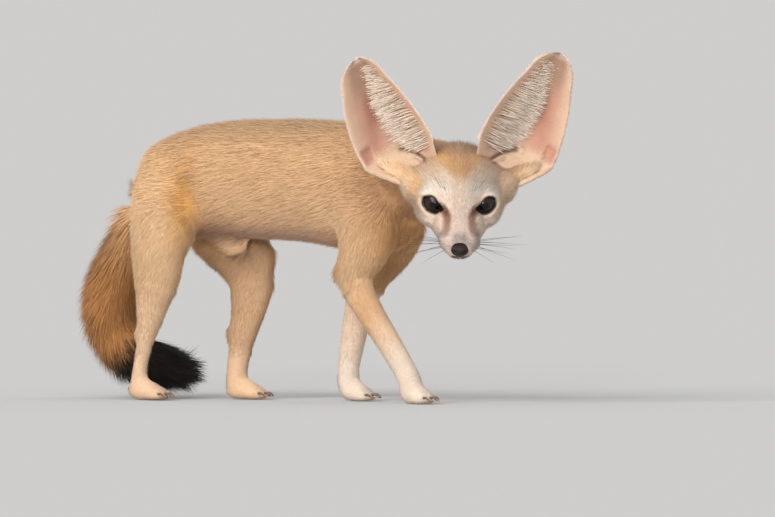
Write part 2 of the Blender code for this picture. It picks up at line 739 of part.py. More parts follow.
EAR_BASE = (-28.0, 27.0, 17.0)
EAR_AXIS = (-0.40, 0.475, 0.784)
EAR_FACES = (0.89, 0.06, 0.45)
EAR_SHAPE = (  # along the ear, width towards the midline, width outwards, depth of the cup
    (-0.12, 10.0, 14.0, 4.0),
    (-0.02, 13.0, 20.0, 7.0),
    (0.08, 15.2, 26.5, 11.0),
    (0.13, 16.2, 29.5, 13.0),
    (0.19, 16.8, 32.2, 15.0),
    (0.32, 17.0, 32.2, 16.0),
    (0.48, 16.0, 30.2, 14.0),
    (0.64, 14.0, 26.6, 11.5),
    (0.78, 11.6, 21.4, 8.5),
    (0.86, 10.8, 18.6, 6.0),
    (0.92, 8.9, 15.4, 4.2),
    (0.96, 6.7, 11.6, 2.8),
    (0.985, 4.2, 7.2, 2.2),
    (1.0, 1.8, 2.6, 1.8),
)
EAR_INNER_SHARE = {1: 1.25, -1: 0.96}
EAR_OUTER_SHARE = {1: (1.04, 0.77), -1: (1.0, 0.98)}  # at the base and at the tip
EAR_ROWS = 14
EAR_COLUMNS = 10
EAR_CURVE = 2.1
EAR_LEAN = {1: 0.0, -1: 4.0}  # the right ear leans out a little further


def ear_frame(sign):
    """The ear's axis, the direction outwards across it, and the direction that it faces."""
    axis = Vector(EAR_AXIS).normalized()
    faces = Vector(EAR_FACES)
    faces = (faces - axis * faces.dot(axis)).normalized()
    lean = Matrix.Rotation(math.radians(-EAR_LEAN[sign]), 3, faces)
    axis = lean @ axis
    outward = faces.cross(axis)
    if outward.y < 0:
        outward = -outward
    return axis, outward, faces


def ear_point(sign, along, across, lift=0.0):
    """A point of the cup's inner face: along from base to tip, across from -1 at the inner edge to 1."""
    rows = [Vector(r) for r in EAR_SHAPE]
    along = min(max(along, rows[0][0]), rows[-1][0])
    k = max(i for i in range(len(rows) - 1) if rows[i][0] <= along)
    share = (along - rows[k][0]) / (rows[k + 1][0] - rows[k][0])
    row = rows[k].lerp(rows[k + 1], share)
    axis, outward, faces = ear_frame(sign)
    base, tip = EAR_OUTER_SHARE[sign]
    width = row[1] * EAR_INNER_SHARE[sign] if across < 0 else row[2] * (base + (tip - base) * along)
    rise = row[3] * (abs(across) ** EAR_CURVE - 1.0)
    place = Vector(EAR_BASE) + axis * (EAR_LENGTH[sign] * along)
    place += outward * (width * across) + faces * (rise + lift)
    return Vector(mirrored(place, sign))


def ear_shell(name, sign, parts):
    """A leaf-shaped cup: an open surface made solid."""
    bm = bmesh.new()
    low, high = EAR_SHAPE[0][0], EAR_SHAPE[-1][0]
    grid = []
    for step in range(EAR_ROWS + 1):
        along = low + (high - low) * math.sin(0.5 * math.pi * step / EAR_ROWS)
        columns = [-1.0 + 2.0 * k / EAR_COLUMNS for k in range(EAR_COLUMNS + 1)]
        grid.append([bm.verts.new(ear_point(sign, along, across)) for across in columns])
    for near, far in zip(grid, grid[1:]):
        for k in range(EAR_COLUMNS):
            bm.faces.new((near[k], near[k + 1], far[k + 1], far[k]))
    bmesh.ops.transform(bm, matrix=head_matrix(), verts=bm.verts)
    ear = object_from(bm, name, parts)
    solid = ear.modifiers.new("thickness", "SOLIDIFY")
    solid.thickness = EAR_SHELL * MM
    solid.offset = 0.0
    return bake(ear)


FRINGE_LOCKS = 10
FRINGE_SPAN = (0.15, 0.84)  # the first and the last lock's root, along the ear
FRINGE_JITTER = 0.006
FRINGE_REACH = (0.72, 1.02)  # of a lock, across the cup
FRINGE_ROOT = -0.82  # where the locks start, across the cup
FRINGE_SHAPE = (  # along a lock: share of its reach, lift off the cup, half width, thickness
    (0.00, -0.8, 2.2, 0.9),
    (0.30, 1.4, 2.9, 1.7),
    (0.62, 3.0, 2.6, 1.5),
)
FRINGE_RISE = 0.10  # how far a lock climbs the ear, as a share of its length


def add_fringe(ear, sign, helpers):
    """Long white hair in flat locks, from inside the inner edge out across the cup."""
    for number in range(FRINGE_LOCKS):
        first, last = FRINGE_SPAN
        along = first + (last - first) * number / (FRINGE_LOCKS - 1)
        along += random.uniform(-FRINGE_JITTER, FRINGE_JITTER)
        reach = random.uniform(*FRINGE_REACH) * (1.0 - 0.5 * max(along - 0.4, 0.0))
        sections = []
        for t, lift, half, thick in FRINGE_SHAPE:
            place = along + FRINGE_RISE * t
            across = FRINGE_ROOT + reach * t
            step = half / EAR_LENGTH[sign]
            sections.append(
                (
                    ear_point(sign, place - step, across, lift),
                    ear_point(sign, place, across, lift + thick),
                    ear_point(sign, place + step, across, lift),
                )
            )
        bm = bmesh.new()
        blade(bm, sections, ear_point(sign, along + FRINGE_RISE, FRINGE_ROOT + reach, 3.4))
        bmesh.ops.transform(bm, matrix=head_matrix(), verts=bm.verts)
        object_from(bm, "fringe", helpers)
    boolean(ear, helpers, "UNION", "MANIFOLD")
    empty_collection(helpers)
    return keep_largest(ear)


# Tail

TAIL = (  # x, y, z, radius over the coat
    (-107.0, 1.5, 155.0, 8.0),
    (-114.0, 3.0, 141.0, 12.0),
    (-122.5, 6.0, 122.0, 17.0),
    (-133.0, 9.0, 101.0, 22.5),
    (-142.5, 11.5, 79.0, 26.0),
    (-144.5, 14.0, 58.0, 25.5),
    (-136.0, 15.5, 39.0, 24.5),
    (-117.0, 17.0, 28.0, 20.0),
    (-99.0, 18.5, 22.5, 16.0),
    (-84.0, 19.0, 18.0, 10.5),
    (-74.0, 18.5, 15.0, 3.0),
)
TAIL_SPLIT = ((-121.0, 17.0, 30.0), (0.9, 0.05, -0.42))


LOCK_WIDTH = 18.0  # round the tail, before the overlap
LOCK_OVERLAP = 1.35
LOCK_SHAPE = (  # along a lock: share of the coat's radius, of the width, and the thickness
    (0.00, 0.30, 0.75, 3.0),
    (0.26, 0.66, 1.00, 5.0),
    (0.52, 0.86, 0.92, 4.6),
    (0.78, 0.97, 0.62, 3.2),
)
LOCK_ROWS = 9
LOCK_SPAN = (0.02, 0.80)  # where the first and the last ring start, along the tail
LOCK_REACH = 0.25  # a lock's length, as a share of the tail's
LOCK_TURN = 0.12  # how far a lock may stray round the tail, as a share of the spacing
LOCK_SHIFT = 0.012  # and along it


def tail_point(rows, share, angle, radius_share):
    """A point of the tail's coat: a share of its length, an angle round it and a share of its radius."""
    place = min(max(share, 0.0), 1.0) * (len(rows) - 1)
    k = min(int(place), len(rows) - 2)
    near, far = rows[k], rows[k + 1]
    row = near.lerp(far, place - k)
    tangent = Vector((far - near)[:3]).normalized()
    across = Vector((0.0, 1.0, 0.0))
    across = (across - tangent * across.dot(tangent)).normalized()
    outward = across * math.cos(angle) + tangent.cross(across) * math.sin(angle)
    return Vector(row[:3]) + outward * (row[3] * radius_share)


def tail_lock(rows, start, angle, reach, helpers):
    """One flat lock, rooted in the core and bending out to the coat's surface."""
    sections = []
    for t, out, wide, thick in LOCK_SHAPE:
        share = start + reach * t
        centre = tail_point(rows, share, angle, 0.0)
        radius = (tail_point(rows, share, angle, 1.0) - centre).length
        half = 0.5 * LOCK_WIDTH * LOCK_OVERLAP * wide / max(radius, 8.0)
        rise = min(thick / radius, 0.25)
        sections.append(
            (
                tail_point(rows, share, angle - half, out - rise),
                tail_point(rows, share, angle, out),
                tail_point(rows, share, angle + half, out - rise),
            )
        )
    bm = bmesh.new()
    blade(bm, sections, tail_point(rows, start + reach, angle, 1.0))
    object_from(bm, "lock", helpers)


def build_tail(parts, helpers):
    """The brush: a slim core with rings of flat locks along its lie, each ring lying over the next."""
    rows = spline(TAIL, 3)
    bm = bmesh.new()
    core = [(x, y, z, r * TAIL_CORE_SHARE, r * TAIL_CORE_SHARE) for x, y, z, r in TAIL]
    tube(bm, core, steps=1, sides=10)
    tail = object_from(bm, "tail", parts)
    for ring in range(LOCK_ROWS):
        start = LOCK_SPAN[0] + (LOCK_SPAN[1] - LOCK_SPAN[0]) * ring / (LOCK_ROWS - 1)
        centre = tail_point(rows, start + 0.5 * LOCK_REACH, 0.0, 0.0)
        radius = (tail_point(rows, start + 0.5 * LOCK_REACH, 0.0, 1.0) - centre).length
        count = max(5, round(2 * math.pi * radius / LOCK_WIDTH))
        for k in range(count):
            stray = random.uniform(-LOCK_TURN, LOCK_TURN)
            angle = 2 * math.pi * (k + 0.5 * (ring % 2) + stray) / count
            shift = random.uniform(-LOCK_SHIFT, LOCK_SHIFT)
            tail_lock(rows, start + shift, angle, LOCK_REACH * random.uniform(0.88, 1.0), helpers)
    boolean(tail, helpers, "UNION", "MANIFOLD")
    empty_collection(helpers)
    return keep_largest(tail)


def split_tail(tail, parts, helpers):
    """Parts the tail where it bends, into the hanging length and the tip."""
    slab("tail_split", TAIL_SPLIT[0], TAIL_SPLIT[1], (60.0, 60.0), helpers)
    boolean(tail, helpers, "DIFFERENCE", "MANIFOLD")
    empty_collection(helpers)
    halves = sorted(islands(tail), key=len)[-2:]
    halves.sort(key=lambda half: -sum(tail.data.vertices[i].co.z for i in half) / len(half))
    names = ("tail", "tail_tip")
    made = [with_only(tail, half, name, parts) for half, name in zip(halves, names)]
    bpy.data.objects.remove(tail, do_unlink=True)
    made[0].name = "tail"
    return made


def fit_against(node, neighbours, helpers, solver="EXACT"):
    """Cuts a node back from what it grows out of, so that they meet face to face."""
    for neighbour in neighbours:
        swollen(neighbour, GAP, "neighbour", helpers)
    boolean(node, helpers, "DIFFERENCE", solver)
    empty_collection(helpers)
    return keep_largest(node)


# Finish


def paint(obj, name):
    colour, roughness = COLOURS[name]
    material = bpy.data.materials.get(name) or bpy.data.materials.new(name)
    material.use_nodes = True
    shader = material.node_tree.nodes["Principled BSDF"]
    shader.inputs["Base Color"].default_value = (*colour, 1.0)
    shader.inputs["Roughness"].default_value = roughness
    shader.inputs["Metallic"].default_value = 0.0
    material.diffuse_color = (*colour, 1.0)
    obj.data.materials.clear()
    obj.data.materials.append(material)


def stand_on_origin(nodes):
    """Puts the origin under the middle of the animal's box, on the floor, and shades round forms smooth."""
    corners = [v.co for obj in nodes for v in obj.data.vertices]
    middle = [(min(c[k] for c in corners) + max(c[k] for c in corners)) / 2 for k in (0, 1)]
    for obj in nodes:
        obj.data.transform(Matrix.Translation((-middle[0], -middle[1], 0.0)))
        obj.data.shade_smooth()
        obj.data.set_sharp_from_angle(angle=math.radians(SHARP_ANGLE))


def build():
    clear_scene()
    random.seed(SEED)
    parts = new_collection("fennec_fox")
    cutters = new_collection("cutters")
    helpers = new_collection("helpers")

    nodes = cut_body(body_mesh(parts), parts, cutters)
    for name, node in nodes.items():
        if name in PAWS:
            add_claws(node, name, helpers)
        paint(node, BODY_NODES[name][1])

    head = build_head(parts, helpers)
    paint(head, "cream")
    nose = nose_pad(parts, helpers)
    paint(nose, "nose_leather")
    for side, sign in (("left", 1), ("right", -1)):
        paint(eyeball(f"eye_{side}", sign, parts), "eye_dark")
        ear = ear_shell(f"ear_{side}", sign, parts)
        add_fringe(ear, sign, helpers)
        fit_against(ear, (head, nodes["neck"]), helpers)
        paint(ear, "pink_skin")

    tail = build_tail(parts, helpers)
    fit_against(tail, (nodes["torso"], nodes["thigh_right"], nodes["shank_right"]), helpers, "MANIFOLD")
    tail, tail_tip = split_tail(tail, parts, helpers)
    paint(tail, "tail_coat")
    paint(tail_tip, "tail_tip")

    stand_on_origin(list(parts.objects))


build()
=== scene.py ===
"""The looks of a life-size fennec fox: one skin under a coat of fine tufts, eyes, nose, claws and whiskers.

Lengths are in millimetres in the animal's own frame, as its solids are drawn, and become metres when a mesh
is made. The body runs along +X and its left is +Y. The head's own frame starts midway between the eyes.
"""

import math
from types import SimpleNamespace

import bmesh
import bpy
import numpy as np
from mathutils import Matrix, Vector
from mathutils.bvhtree import BVHTree


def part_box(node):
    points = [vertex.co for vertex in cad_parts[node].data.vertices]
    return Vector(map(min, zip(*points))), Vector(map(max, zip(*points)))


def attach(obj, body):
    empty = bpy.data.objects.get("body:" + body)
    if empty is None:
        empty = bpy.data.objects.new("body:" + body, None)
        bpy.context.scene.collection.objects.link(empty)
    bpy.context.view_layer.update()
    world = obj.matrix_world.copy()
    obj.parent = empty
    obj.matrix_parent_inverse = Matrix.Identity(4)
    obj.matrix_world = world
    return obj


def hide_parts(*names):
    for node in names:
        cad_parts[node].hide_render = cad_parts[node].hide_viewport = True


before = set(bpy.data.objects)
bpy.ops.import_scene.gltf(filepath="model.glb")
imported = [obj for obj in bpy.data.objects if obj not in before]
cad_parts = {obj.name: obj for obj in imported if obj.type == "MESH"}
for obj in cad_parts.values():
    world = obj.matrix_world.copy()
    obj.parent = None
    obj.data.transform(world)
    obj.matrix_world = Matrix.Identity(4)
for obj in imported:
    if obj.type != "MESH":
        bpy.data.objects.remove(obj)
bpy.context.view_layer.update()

MM = 0.001
RANDOM = np.random.default_rng(7)
SIDES = (("left", 1), ("right", -1))

# Sizes shared with the solids
HEAD_PLACE = (171, -62.3, 138.6)
HEAD_YAW = -60.8
HEAD_PITCH = 26
HEAD_ROLL = 1.3
EYE_RADIUS = 9
EYE_PLACE = (-7, 16, -0.6)
EYE_OUTWARD = 20
EYE_OPENING = (
    (-66, -24, -30),
    (-46, 10, -37),
    (-20, 36, -35),
    (8, 47, -29),
    (34, 45, -17),
    (56, 31, 1),
    (66, 19, 13),
)
MOUTH_LINE = (
    (37, 0, -21.6), (33, 8, -22.4), (26, 11.8, -22.2), (18, 12.6, -20.4), (10, 15, -18),
)
NOSE_PLACE = (37, 0, -16)
EAR_LENGTH = {1: 88.5, -1: 85}
EAR_BASE = (-28, 27, 17)
EAR_AXIS = (-0.4, 0.475, 0.784)
EAR_FACES = (0.89, 0.06, 0.45)
EAR_SHAPE = (
    (-0.12, 10, 14, 4),
    (-0.02, 13, 20, 7),
    (0.08, 15.2, 26.5, 11),
    (0.13, 16.2, 29.5, 13),
    (0.19, 16.8, 32.2, 15),
    (0.32, 17, 32.2, 16),
    (0.48, 16, 30.2, 14),
    (0.64, 14, 26.6, 11.5),
    (0.78, 11.6, 21.4, 8.5),
    (0.86, 10.8, 18.6, 6),
    (0.92, 8.9, 15.4, 4.2),
    (0.96, 6.7, 11.6, 2.8),
    (0.985, 4.2, 7.2, 2.2),
    (1, 1.8, 2.6, 1.8),
)
EAR_INNER_SHARE = {1: 1.25, -1: 0.96}
EAR_OUTER_SHARE = {1: (1.04, 0.77), -1: (1, 0.98)}
EAR_RIM = 1.035  # the rim's own thickness, as a share of the half width
EAR_LEAN = {1: 0, -1: 4}
EAR_CURVE = 2.1
EAR_THICKNESS = 2
TAIL = (
    (-98, 0, 160, 9),
    (-107, 1.5, 155, 9),
    (-114, 3, 141, 12),
    (-122.5, 6, 122, 17),
    (-133, 9, 101, 22.5),
    (-142.5, 11.5, 79, 26),
    (-144.5, 14, 58, 25.5),
    (-136, 15.5, 39, 24.5),
    (-117, 17, 28, 20),
    (-101, 18.5, 22.5, 13),
)
TAIL_CORE = 0.42
PAWS = {
    "paw_fore_right": (112.5, -27, -7, 15),
    "paw_fore_left": (40.5, 20, -3, 15),
    "foot_hind_right": (-103, -25.5, -5, 19),
    "foot_hind_left": (-50, 21, 0, 19),
}
TOE_SPREAD = (-6.4, -2.2, 2.2, 6.4)
TOE_STEP = (-3, 0, 0, -3)
TOE_REACH = 6.6

FLESH = (
    "torso neck head foreleg_right_upper foreleg_right_lower paw_fore_right"
    " foreleg_left_upper foreleg_left_lower paw_fore_left"
    " thigh_right shank_right foot_hind_right thigh_left shank_left foot_hind_left"
).split()
COAT_OF = {  # for a word in a node's name: the coat's length, its depth over the skin, and its lie
    "torso": (12, 3.6, -1, 0, -0.3),
    "head": (12, 3.6, -1, 0, -0.3),
    "neck": (12, 3.6, -0.8, 0.42, -0.35),
    "thigh": (8.5, 2.4, -0.45, 0, -0.9),
    "upper": (8.5, 2.4, -0.25, 0, -0.95),
    "shank": (6, 1.5, 0, 0, -1),
    "lower": (4.5, 1.1, 0, 0, -1),
    "paw": (3.4, 0.8, 0.9, 0, -0.45),
    "foot": (3.4, 0.8, 0.9, 0, -0.45),
    "tail": (27, 0, -1, 0, -0.3),
}
NODES = [*FLESH, "tail"]
COAT_ROWS = np.array([next(row for word, row in COAT_OF.items() if word in name) for name in NODES])
SKIN_VOXEL = 1

# Colours of the coat and the skin, linear
CREAM = (0.92, 0.59, 0.34)
WHITE = (0.92, 0.7, 0.55)
BROW_WHITE = (1, 0.84, 0.7)
MUZZLE_GREY = (0.66, 0.53, 0.47)
SAND = (0.94, 0.56, 0.29)
BACK_BROWN = (0.4, 0.26, 0.16)
OCHRE = (0.68, 0.24, 0.025)
NAPE = (0.6, 0.35, 0.18)
BUFF = (0.9, 0.5, 0.22)
PINK = (0.66, 0.32, 0.22)
PINK_CREAM = (0.66, 0.4, 0.28)
TAIL_GOLD = (0.53, 0.235, 0.08)
TAIL_DARK = (0.13, 0.075, 0.04)
BLACK = (0.012, 0.008, 0.007)
TEAR = (0.235, 0.075, 0.026)
MAUVE = (0.36, 0.27, 0.26)
DARK_RIM = (0.016, 0.01, 0.009)
EAR_BROWN = (0.42, 0.25, 0.16)
FOREHEAD = (0.82, 0.42, 0.16)
GOLD = (0.98, 0.52, 0.15)
CROWN_BROWN = (0.52, 0.3, 0.18)
WEB = (1, 0.66, 0.42)  # where the ear meets the cheek
EAR_FOOT = (0.88, 0.6, 0.4)
STRAND_ROOT = (0.7, 0.47, 0.32)
STRAND_TIP = (1, 0.85, 0.7)


# Places and numbers


def rotation(degrees, axis, size=4):
    return Matrix.Rotation(math.radians(degrees), size, axis)


def mirrored(row, sign):
    return (row[0], row[1] * sign, *row[2:])


HEAD = Matrix.Translation(HEAD_PLACE) @ (
    rotation(HEAD_YAW, "Z") @ rotation(HEAD_PITCH, "Y") @ rotation(-HEAD_ROLL, "X")
)
HEAD_TURN = np.array(HEAD.to_3x3())
EYES = {
    sign: HEAD @ Matrix.Translation(mirrored(EYE_PLACE, sign)) @ rotation(EYE_OUTWARD * sign, "Z")
    for _, sign in SIDES
}


def frame_shift():
    """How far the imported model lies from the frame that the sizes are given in."""
    shift = Vector()
    for side, sign in SIDES:
        low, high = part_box(f"eye_{side}")
        shift += (low + high) / 2 / MM - EYES[sign].translation
    return shift / 2


SHIFT = frame_shift()
TO_SCENE = Matrix.Scale(MM, 4) @ Matrix.Translation(SHIFT)


def applied(matrix, points):
    """Points moved by a matrix."""
    return points @ np.array(matrix.to_3x3()).T + np.array(matrix.translation)


def unit(vectors):
    return vectors / np.maximum(np.linalg.norm(vectors, axis=1, keepdims=True), 1e-9)


def smooth(low, high, values):
    """0 at low, 1 at high, and a smooth change between, in either direction."""
    t = np.clip((values - low) / (high - low), 0, 1)
    return t * t * (3 - 2 * t)


def bump_at(values, centre, half):
    """1 at the centre, falling smoothly to 0 at half a width away."""
    return 1 - smooth(0, half, np.abs(values - centre))


SCATTER = (73856093, 19349663, 83492791, 2654435761)  # large odd numbers that mix a cell's place and a seed


def noise(points, size, seed=0):
    """Smooth value noise from -1 to 1 with features of about this size."""
    cell = np.floor(points / size).astype(np.int64)
    t = points / size - cell
    t = t * t * (3 - 2 * t)
    total = np.zeros(len(points))
    for corner in range(8):
        step = np.array([corner & 1, corner >> 1 & 1, corner >> 2])
        c = cell + step
        mixed = (c[:, 0] * SCATTER[0]) ^ (c[:, 1] * SCATTER[1]) ^ (c[:, 2] * SCATTER[2]) ^ (seed * SCATTER[3])
        mixed = (mixed ^ (mixed >> 13)) * 1274126177
        value = ((mixed ^ (mixed >> 16)) & 0xFFFF) / 32767.5 - 1
        weight = np.prod(np.where(step, t, 1 - t), axis=1)
        total += value * weight
    return total


def blend(colours, share, colour):
    """The colours mixed with one more by a share for each point."""
    share = np.clip(share, 0, 1)[:, None]
    return colours * (1 - share) + np.array(colour) * share


def spline(stations, steps):
    """A smooth line through the stations, with so many steps between them."""
    rows = [Vector(s) for s in stations]
    rows = [rows[0] * 2 - rows[1], *rows, rows[-1] * 2 - rows[-2]]
    found = []
    for k in range(1, len(rows) - 2):
        a, b, c, d = rows[k - 1 : k + 3]
        for step in range(steps):
            t = step / steps
            square, cube = 2 * a - 5 * b + 4 * c - d, 3 * b - a - 3 * c + d
            found.append(0.5 * (2 * b + (c - a) * t + square * t**2 + cube * t**3))
    found.append(rows[-2])
    return found


def near_line(points, line):
    """Each point's distance to a line of points, and how far along the line that is, from 0 to 1."""
    line = np.array([tuple(p)[:3] for p in line])
    best = np.full(len(points), 1e9)
    along = np.zeros(len(points))
    for k in range(len(line) - 1):
        span = line[k + 1] - line[k]
        t = np.clip((points - line[k]) @ span / (span @ span), 0, 1)
        far = np.linalg.norm(points - line[k] - t[:, None] * span, axis=1)
        nearer = far < best
        best = np.where(nearer, far, best)
        along = np.where(nearer, (k + t) / (len(line) - 1), along)
    return best, along


TAIL_LINE = np.array([tuple(p)[:3] for p in spline(TAIL, 2)])


# Meshes


def placed(name, data):
    """A new object in the scene."""
    obj = bpy.data.objects.new(name, data)
    bpy.context.scene.collection.objects.link(obj)
    return obj


def object_from(bm, name, scale=True):
    """An object from a mesh that is built in millimetres, or in the scene's own metres without scale."""
    if scale:
        bmesh.ops.transform(bm, matrix=TO_SCENE, verts=bm.verts)
    bmesh.ops.recalc_face_normals(bm, faces=bm.faces)
    mesh = bpy.data.meshes.new(name)
    bm.to_mesh(mesh)
    bm.free()
    return placed(name, mesh)


def bake(obj):
    """Applies the object's modifiers."""
    bpy.context.view_layer.update()
    mesh = bpy.data.meshes.new_from_object(obj.evaluated_get(bpy.context.evaluated_depsgraph_get()))
    obj.modifiers.clear()
    obj.data = mesh
    return obj


def tube(bm, points, radii, side=(0, 1, 0), sides=12):
    """A round tube along the points, closed at both ends."""
    side = Vector(side)
    rings = []
    for k, point in enumerate(points):
        tangent = (points[min(k + 1, len(points) - 1)] - points[max(k - 1, 0)]).normalized()
        across = (side - tangent * side.dot(tangent)).normalized()
        upright = tangent.cross(across)
        ring = []
        for j in range(sides):
            angle = 2 * math.pi * j / sides
            offset = across * math.cos(angle) + upright * math.sin(angle)
            ring.append(bm.verts.new(point + offset * radii[k]))
        rings.append(ring)
    for near, far in zip(rings, rings[1:]):
        for j in range(sides):
            bm.faces.new((near[j], near[(j + 1) % sides], far[(j + 1) % sides], far[j]))
    bm.faces.new(rings[0])
    bm.faces.new(rings[-1])


def read(items, what, width, kind=float):
    """A row of values for each vertex, edge, face or corner of a mesh."""
    values = np.empty(len(items) * width, kind)
    items.foreach_get(what, values)
    return values.reshape(-1, width)


def mesh_points(mesh):
    return read(mesh.vertices, "co", 3)


def edge_pairs(mesh):
    return read(mesh.edges, "vertices", 2, np.int32)


def set_points(mesh, points):
    mesh.vertices.foreach_set("co", points.astype(np.float32).ravel())
    mesh.update()


def set_colours(mesh, colours):
    """Writes a colour for each vertex, which the materials read."""
    layer = mesh.color_attributes.new("coat", "FLOAT_COLOR", "POINT")
    rgba = np.ones((len(colours), 4), np.float32)
    rgba[:, :3] = np.clip(colours, 0, 1)
    layer.data.foreach_set("color", rgba.ravel())


def averaged(values, pairs, rounds, share=None):
    """Values at the vertices, spread over their neighbours; share says how much each vertex follows."""
    count = len(values)
    degree = np.bincount(pairs.ravel(), minlength=count).astype(float)
    degree = np.maximum(degree, 1)
    values = values.copy()
    for _ in range(rounds):
        mean = np.empty_like(values)
        for k in range(values.shape[1]):
            column = values[:, k]
            mean[:, k] = np.bincount(pairs[:, 0], column[pairs[:, 1]], count)
            mean[:, k] += np.bincount(pairs[:, 1], column[pairs[:, 0]], count)
        mean /= degree[:, None]
        values = mean if share is None else values + (mean - values) * share[:, None]
    return values


# The ears' own surface


def ear_frame(sign):
    axis = Vector(EAR_AXIS).normalized()
    faces = Vector(EAR_FACES)
    faces = (faces - axis * faces.dot(axis)).normalized()
    axis = Matrix.Rotation(math.radians(-EAR_LEAN[sign]), 3, faces) @ axis
    outward = faces.cross(axis)
    if outward.y < 0:
        outward = -outward
    return np.array(axis), np.array(outward), np.array(faces)


def ear_points(sign, along, across, lift):
    """Points of the cup's inner face in the animal's frame: along from base to tip, across from -1 to 1."""
    shape = np.array(EAR_SHAPE)
    along, across, lift = (np.asarray(v, float) for v in (along, across, lift))
    inner, outer, depth = (np.interp(along, shape[:, 0], shape[:, k]) for k in (1, 2, 3))
    axis, outward, faces = ear_frame(sign)
    base, tip = EAR_OUTER_SHARE[sign]
    width = np.where(across < 0, inner * EAR_INNER_SHARE[sign], outer * (base + (tip - base) * along))
    rise = depth * (np.abs(across) ** EAR_CURVE - 1) + lift
    place = np.array(EAR_BASE) + axis * (EAR_LENGTH[sign] * along)[:, None]
    place = place + outward * (width * across)[:, None] + faces * rise[:, None]
    place[:, 1] *= sign
    return applied(HEAD, place)


def ear_relief(along, across):
    """The folds inside the cup: a pocket at its outer edge, a groove to the canal and a long soft fold."""
    lip = bump_at(along, 0.355, 0.03) * bump_at(across, 0.84, 0.2)
    canal = canal_share(along, across)
    fold = bump_at(across, 0.62 - 0.5 * along, 0.22) * smooth(0.25, 0.4, along)
    fold = fold * (1 - smooth(0.6, 0.85, along))
    ribs = np.sin(along * 34 + across * 3) * bump_at(across, 0.45, 0.4) * bump_at(along, 0.42, 0.2)
    return -2.4 * pocket_share(along, across) + 0.9 * lip - 2.6 * canal - 1.4 * fold + 0.25 * ribs


def pocket_share(along, across):
    """1 in the small pocket at the cup's outer edge."""
    inner = 1 - smooth(0.5, 1, np.abs(across - 0.85) / 0.15)
    return (1 - smooth(0.5, 1, np.abs(along - 0.275) / 0.085)) * inner


def canal_share(along, across):
    """1 on the groove that runs down to the ear's canal, which the ear's colours darken with painted shade.
    """
    start, end = np.array((0.185, 0.16)), np.array((0, -0.4))
    span = end - start
    place = np.stack([along, across], 1) - start
    t = np.clip(place @ span / (span @ span), 0, 1)
    off = place - t[:, None] * span
    return 1 - smooth(0.15, 1, np.hypot(off[:, 0] / 0.04, off[:, 1] / 0.13))


EAR_ROWS = 76
EAR_COLUMNS = 56


def ear_mesh(sign):
    """A closed thin cup: vertices, quads, and each vertex's place as along, across and 1 for the back."""
    low, high = EAR_SHAPE[0][0], EAR_SHAPE[-1][0]
    rows = low + (high - low) * np.sin(0.5 * np.pi * np.linspace(0, 1, EAR_ROWS + 1))
    columns = np.sin(0.5 * np.pi * np.linspace(-1, 1, EAR_COLUMNS + 1))
    along, across = (a.ravel() for a in np.meshgrid(rows, columns, indexing="ij"))
    edge = np.maximum(smooth(0.86, 1, np.abs(across)), smooth(0.94, 1, along))
    rim = (np.abs(across) > 0.9999) | (along > high - 1e-6) | (along < low + 1e-6)
    edge[rim] = 1
    half = 0.5 * EAR_THICKNESS * np.sqrt(np.clip(1 - edge**2, 0, 1))
    relief = ear_relief(along, across) * (1 - edge)
    front = ear_points(sign, along, across * EAR_RIM, half + relief)
    back = ear_points(sign, along, across * EAR_RIM, relief * 0.7 - half)
    width = EAR_COLUMNS + 1
    k, j = (a.ravel() for a in np.meshgrid(np.arange(EAR_ROWS), np.arange(EAR_COLUMNS), indexing="ij"))
    corner = k * width + j
    quads = np.stack([corner, corner + 1, corner + width + 1, corner + width], 1)
    count = len(along)
    behind = np.where(rim, np.arange(count), count + np.cumsum(~rim) - 1)
    faces = np.concatenate([quads, behind[quads][:, ::-1]])
    if sign < 0:
        faces = faces[:, ::-1]
    points = np.concatenate([front, back[~rim]])
    place = np.stack([along, across, np.zeros(count)], 1)
    place = np.concatenate([place, np.stack([along[~rim], across[~rim], np.ones((~rim).sum())], 1)])
    return points, faces, place


# Skin


def flesh_tree():
    """A search tree over the solids' faces, with the node that each face belongs to."""
    points, faces, owner = [], [], []
    for index, name in enumerate(FLESH):
        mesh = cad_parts[name].data
        start = len(points)
        points += [v.co / MM - SHIFT for v in mesh.vertices]
        for polygon in mesh.polygons:
            faces.append([start + i for i in polygon.vertices])
            owner.append(index)
    return BVHTree.FromPolygons(points, faces), owner


def raw_skin():
    """The solids of flesh and a tail's core, run together as one closed surface, in millimetres."""
    bm = bmesh.new()
    for name in FLESH:
        part = bmesh.new()
        part.from_mesh(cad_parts[name].data)
        bmesh.ops.remove_doubles(part, verts=part.verts, dist=1e-6)
        bmesh.ops.transform(part, matrix=TO_SCENE.inverted(), verts=part.verts)
        part.normal_update()
        for vertex in part.verts:
            vertex.co += vertex.normal * 0.25
        mesh = bpy.data.meshes.new("part")
        part.to_mesh(mesh)
        part.free()
        bm.from_mesh(mesh)
        bpy.data.meshes.remove(mesh)
    rows = spline(TAIL, 3)
    tube(bm, [Vector(r[:3]) for r in rows], [max(r[3] * TAIL_CORE, 4) for r in rows], sides=20)
    skin = object_from(bm, "skin", scale=False)
    remesh = skin.modifiers.new("fuse", "REMESH")
    remesh.mode = "VOXEL"
    remesh.voxel_size = SKIN_VOXEL
    return bake(skin)


def labels_of(points):
    """The name's index of the solid nearest to each point; the tail comes after the last."""
    tree, owner = flesh_tree()
    labels = np.empty(len(points), np.int32)
    far = np.empty(len(points))
    for k, point in enumerate(points):
        hit = tree.find_nearest(Vector(point))
        labels[k] = owner[hit[2]]
        far[k] = hit[3]
    off, _ = near_line(points, TAIL_LINE)
    labels[(far > 2.5) & (off < 14)] = NODES.index("tail")
    return labels


def head_place(points):
    """Points in the head's own frame."""
    return applied(HEAD.inverted(), points)


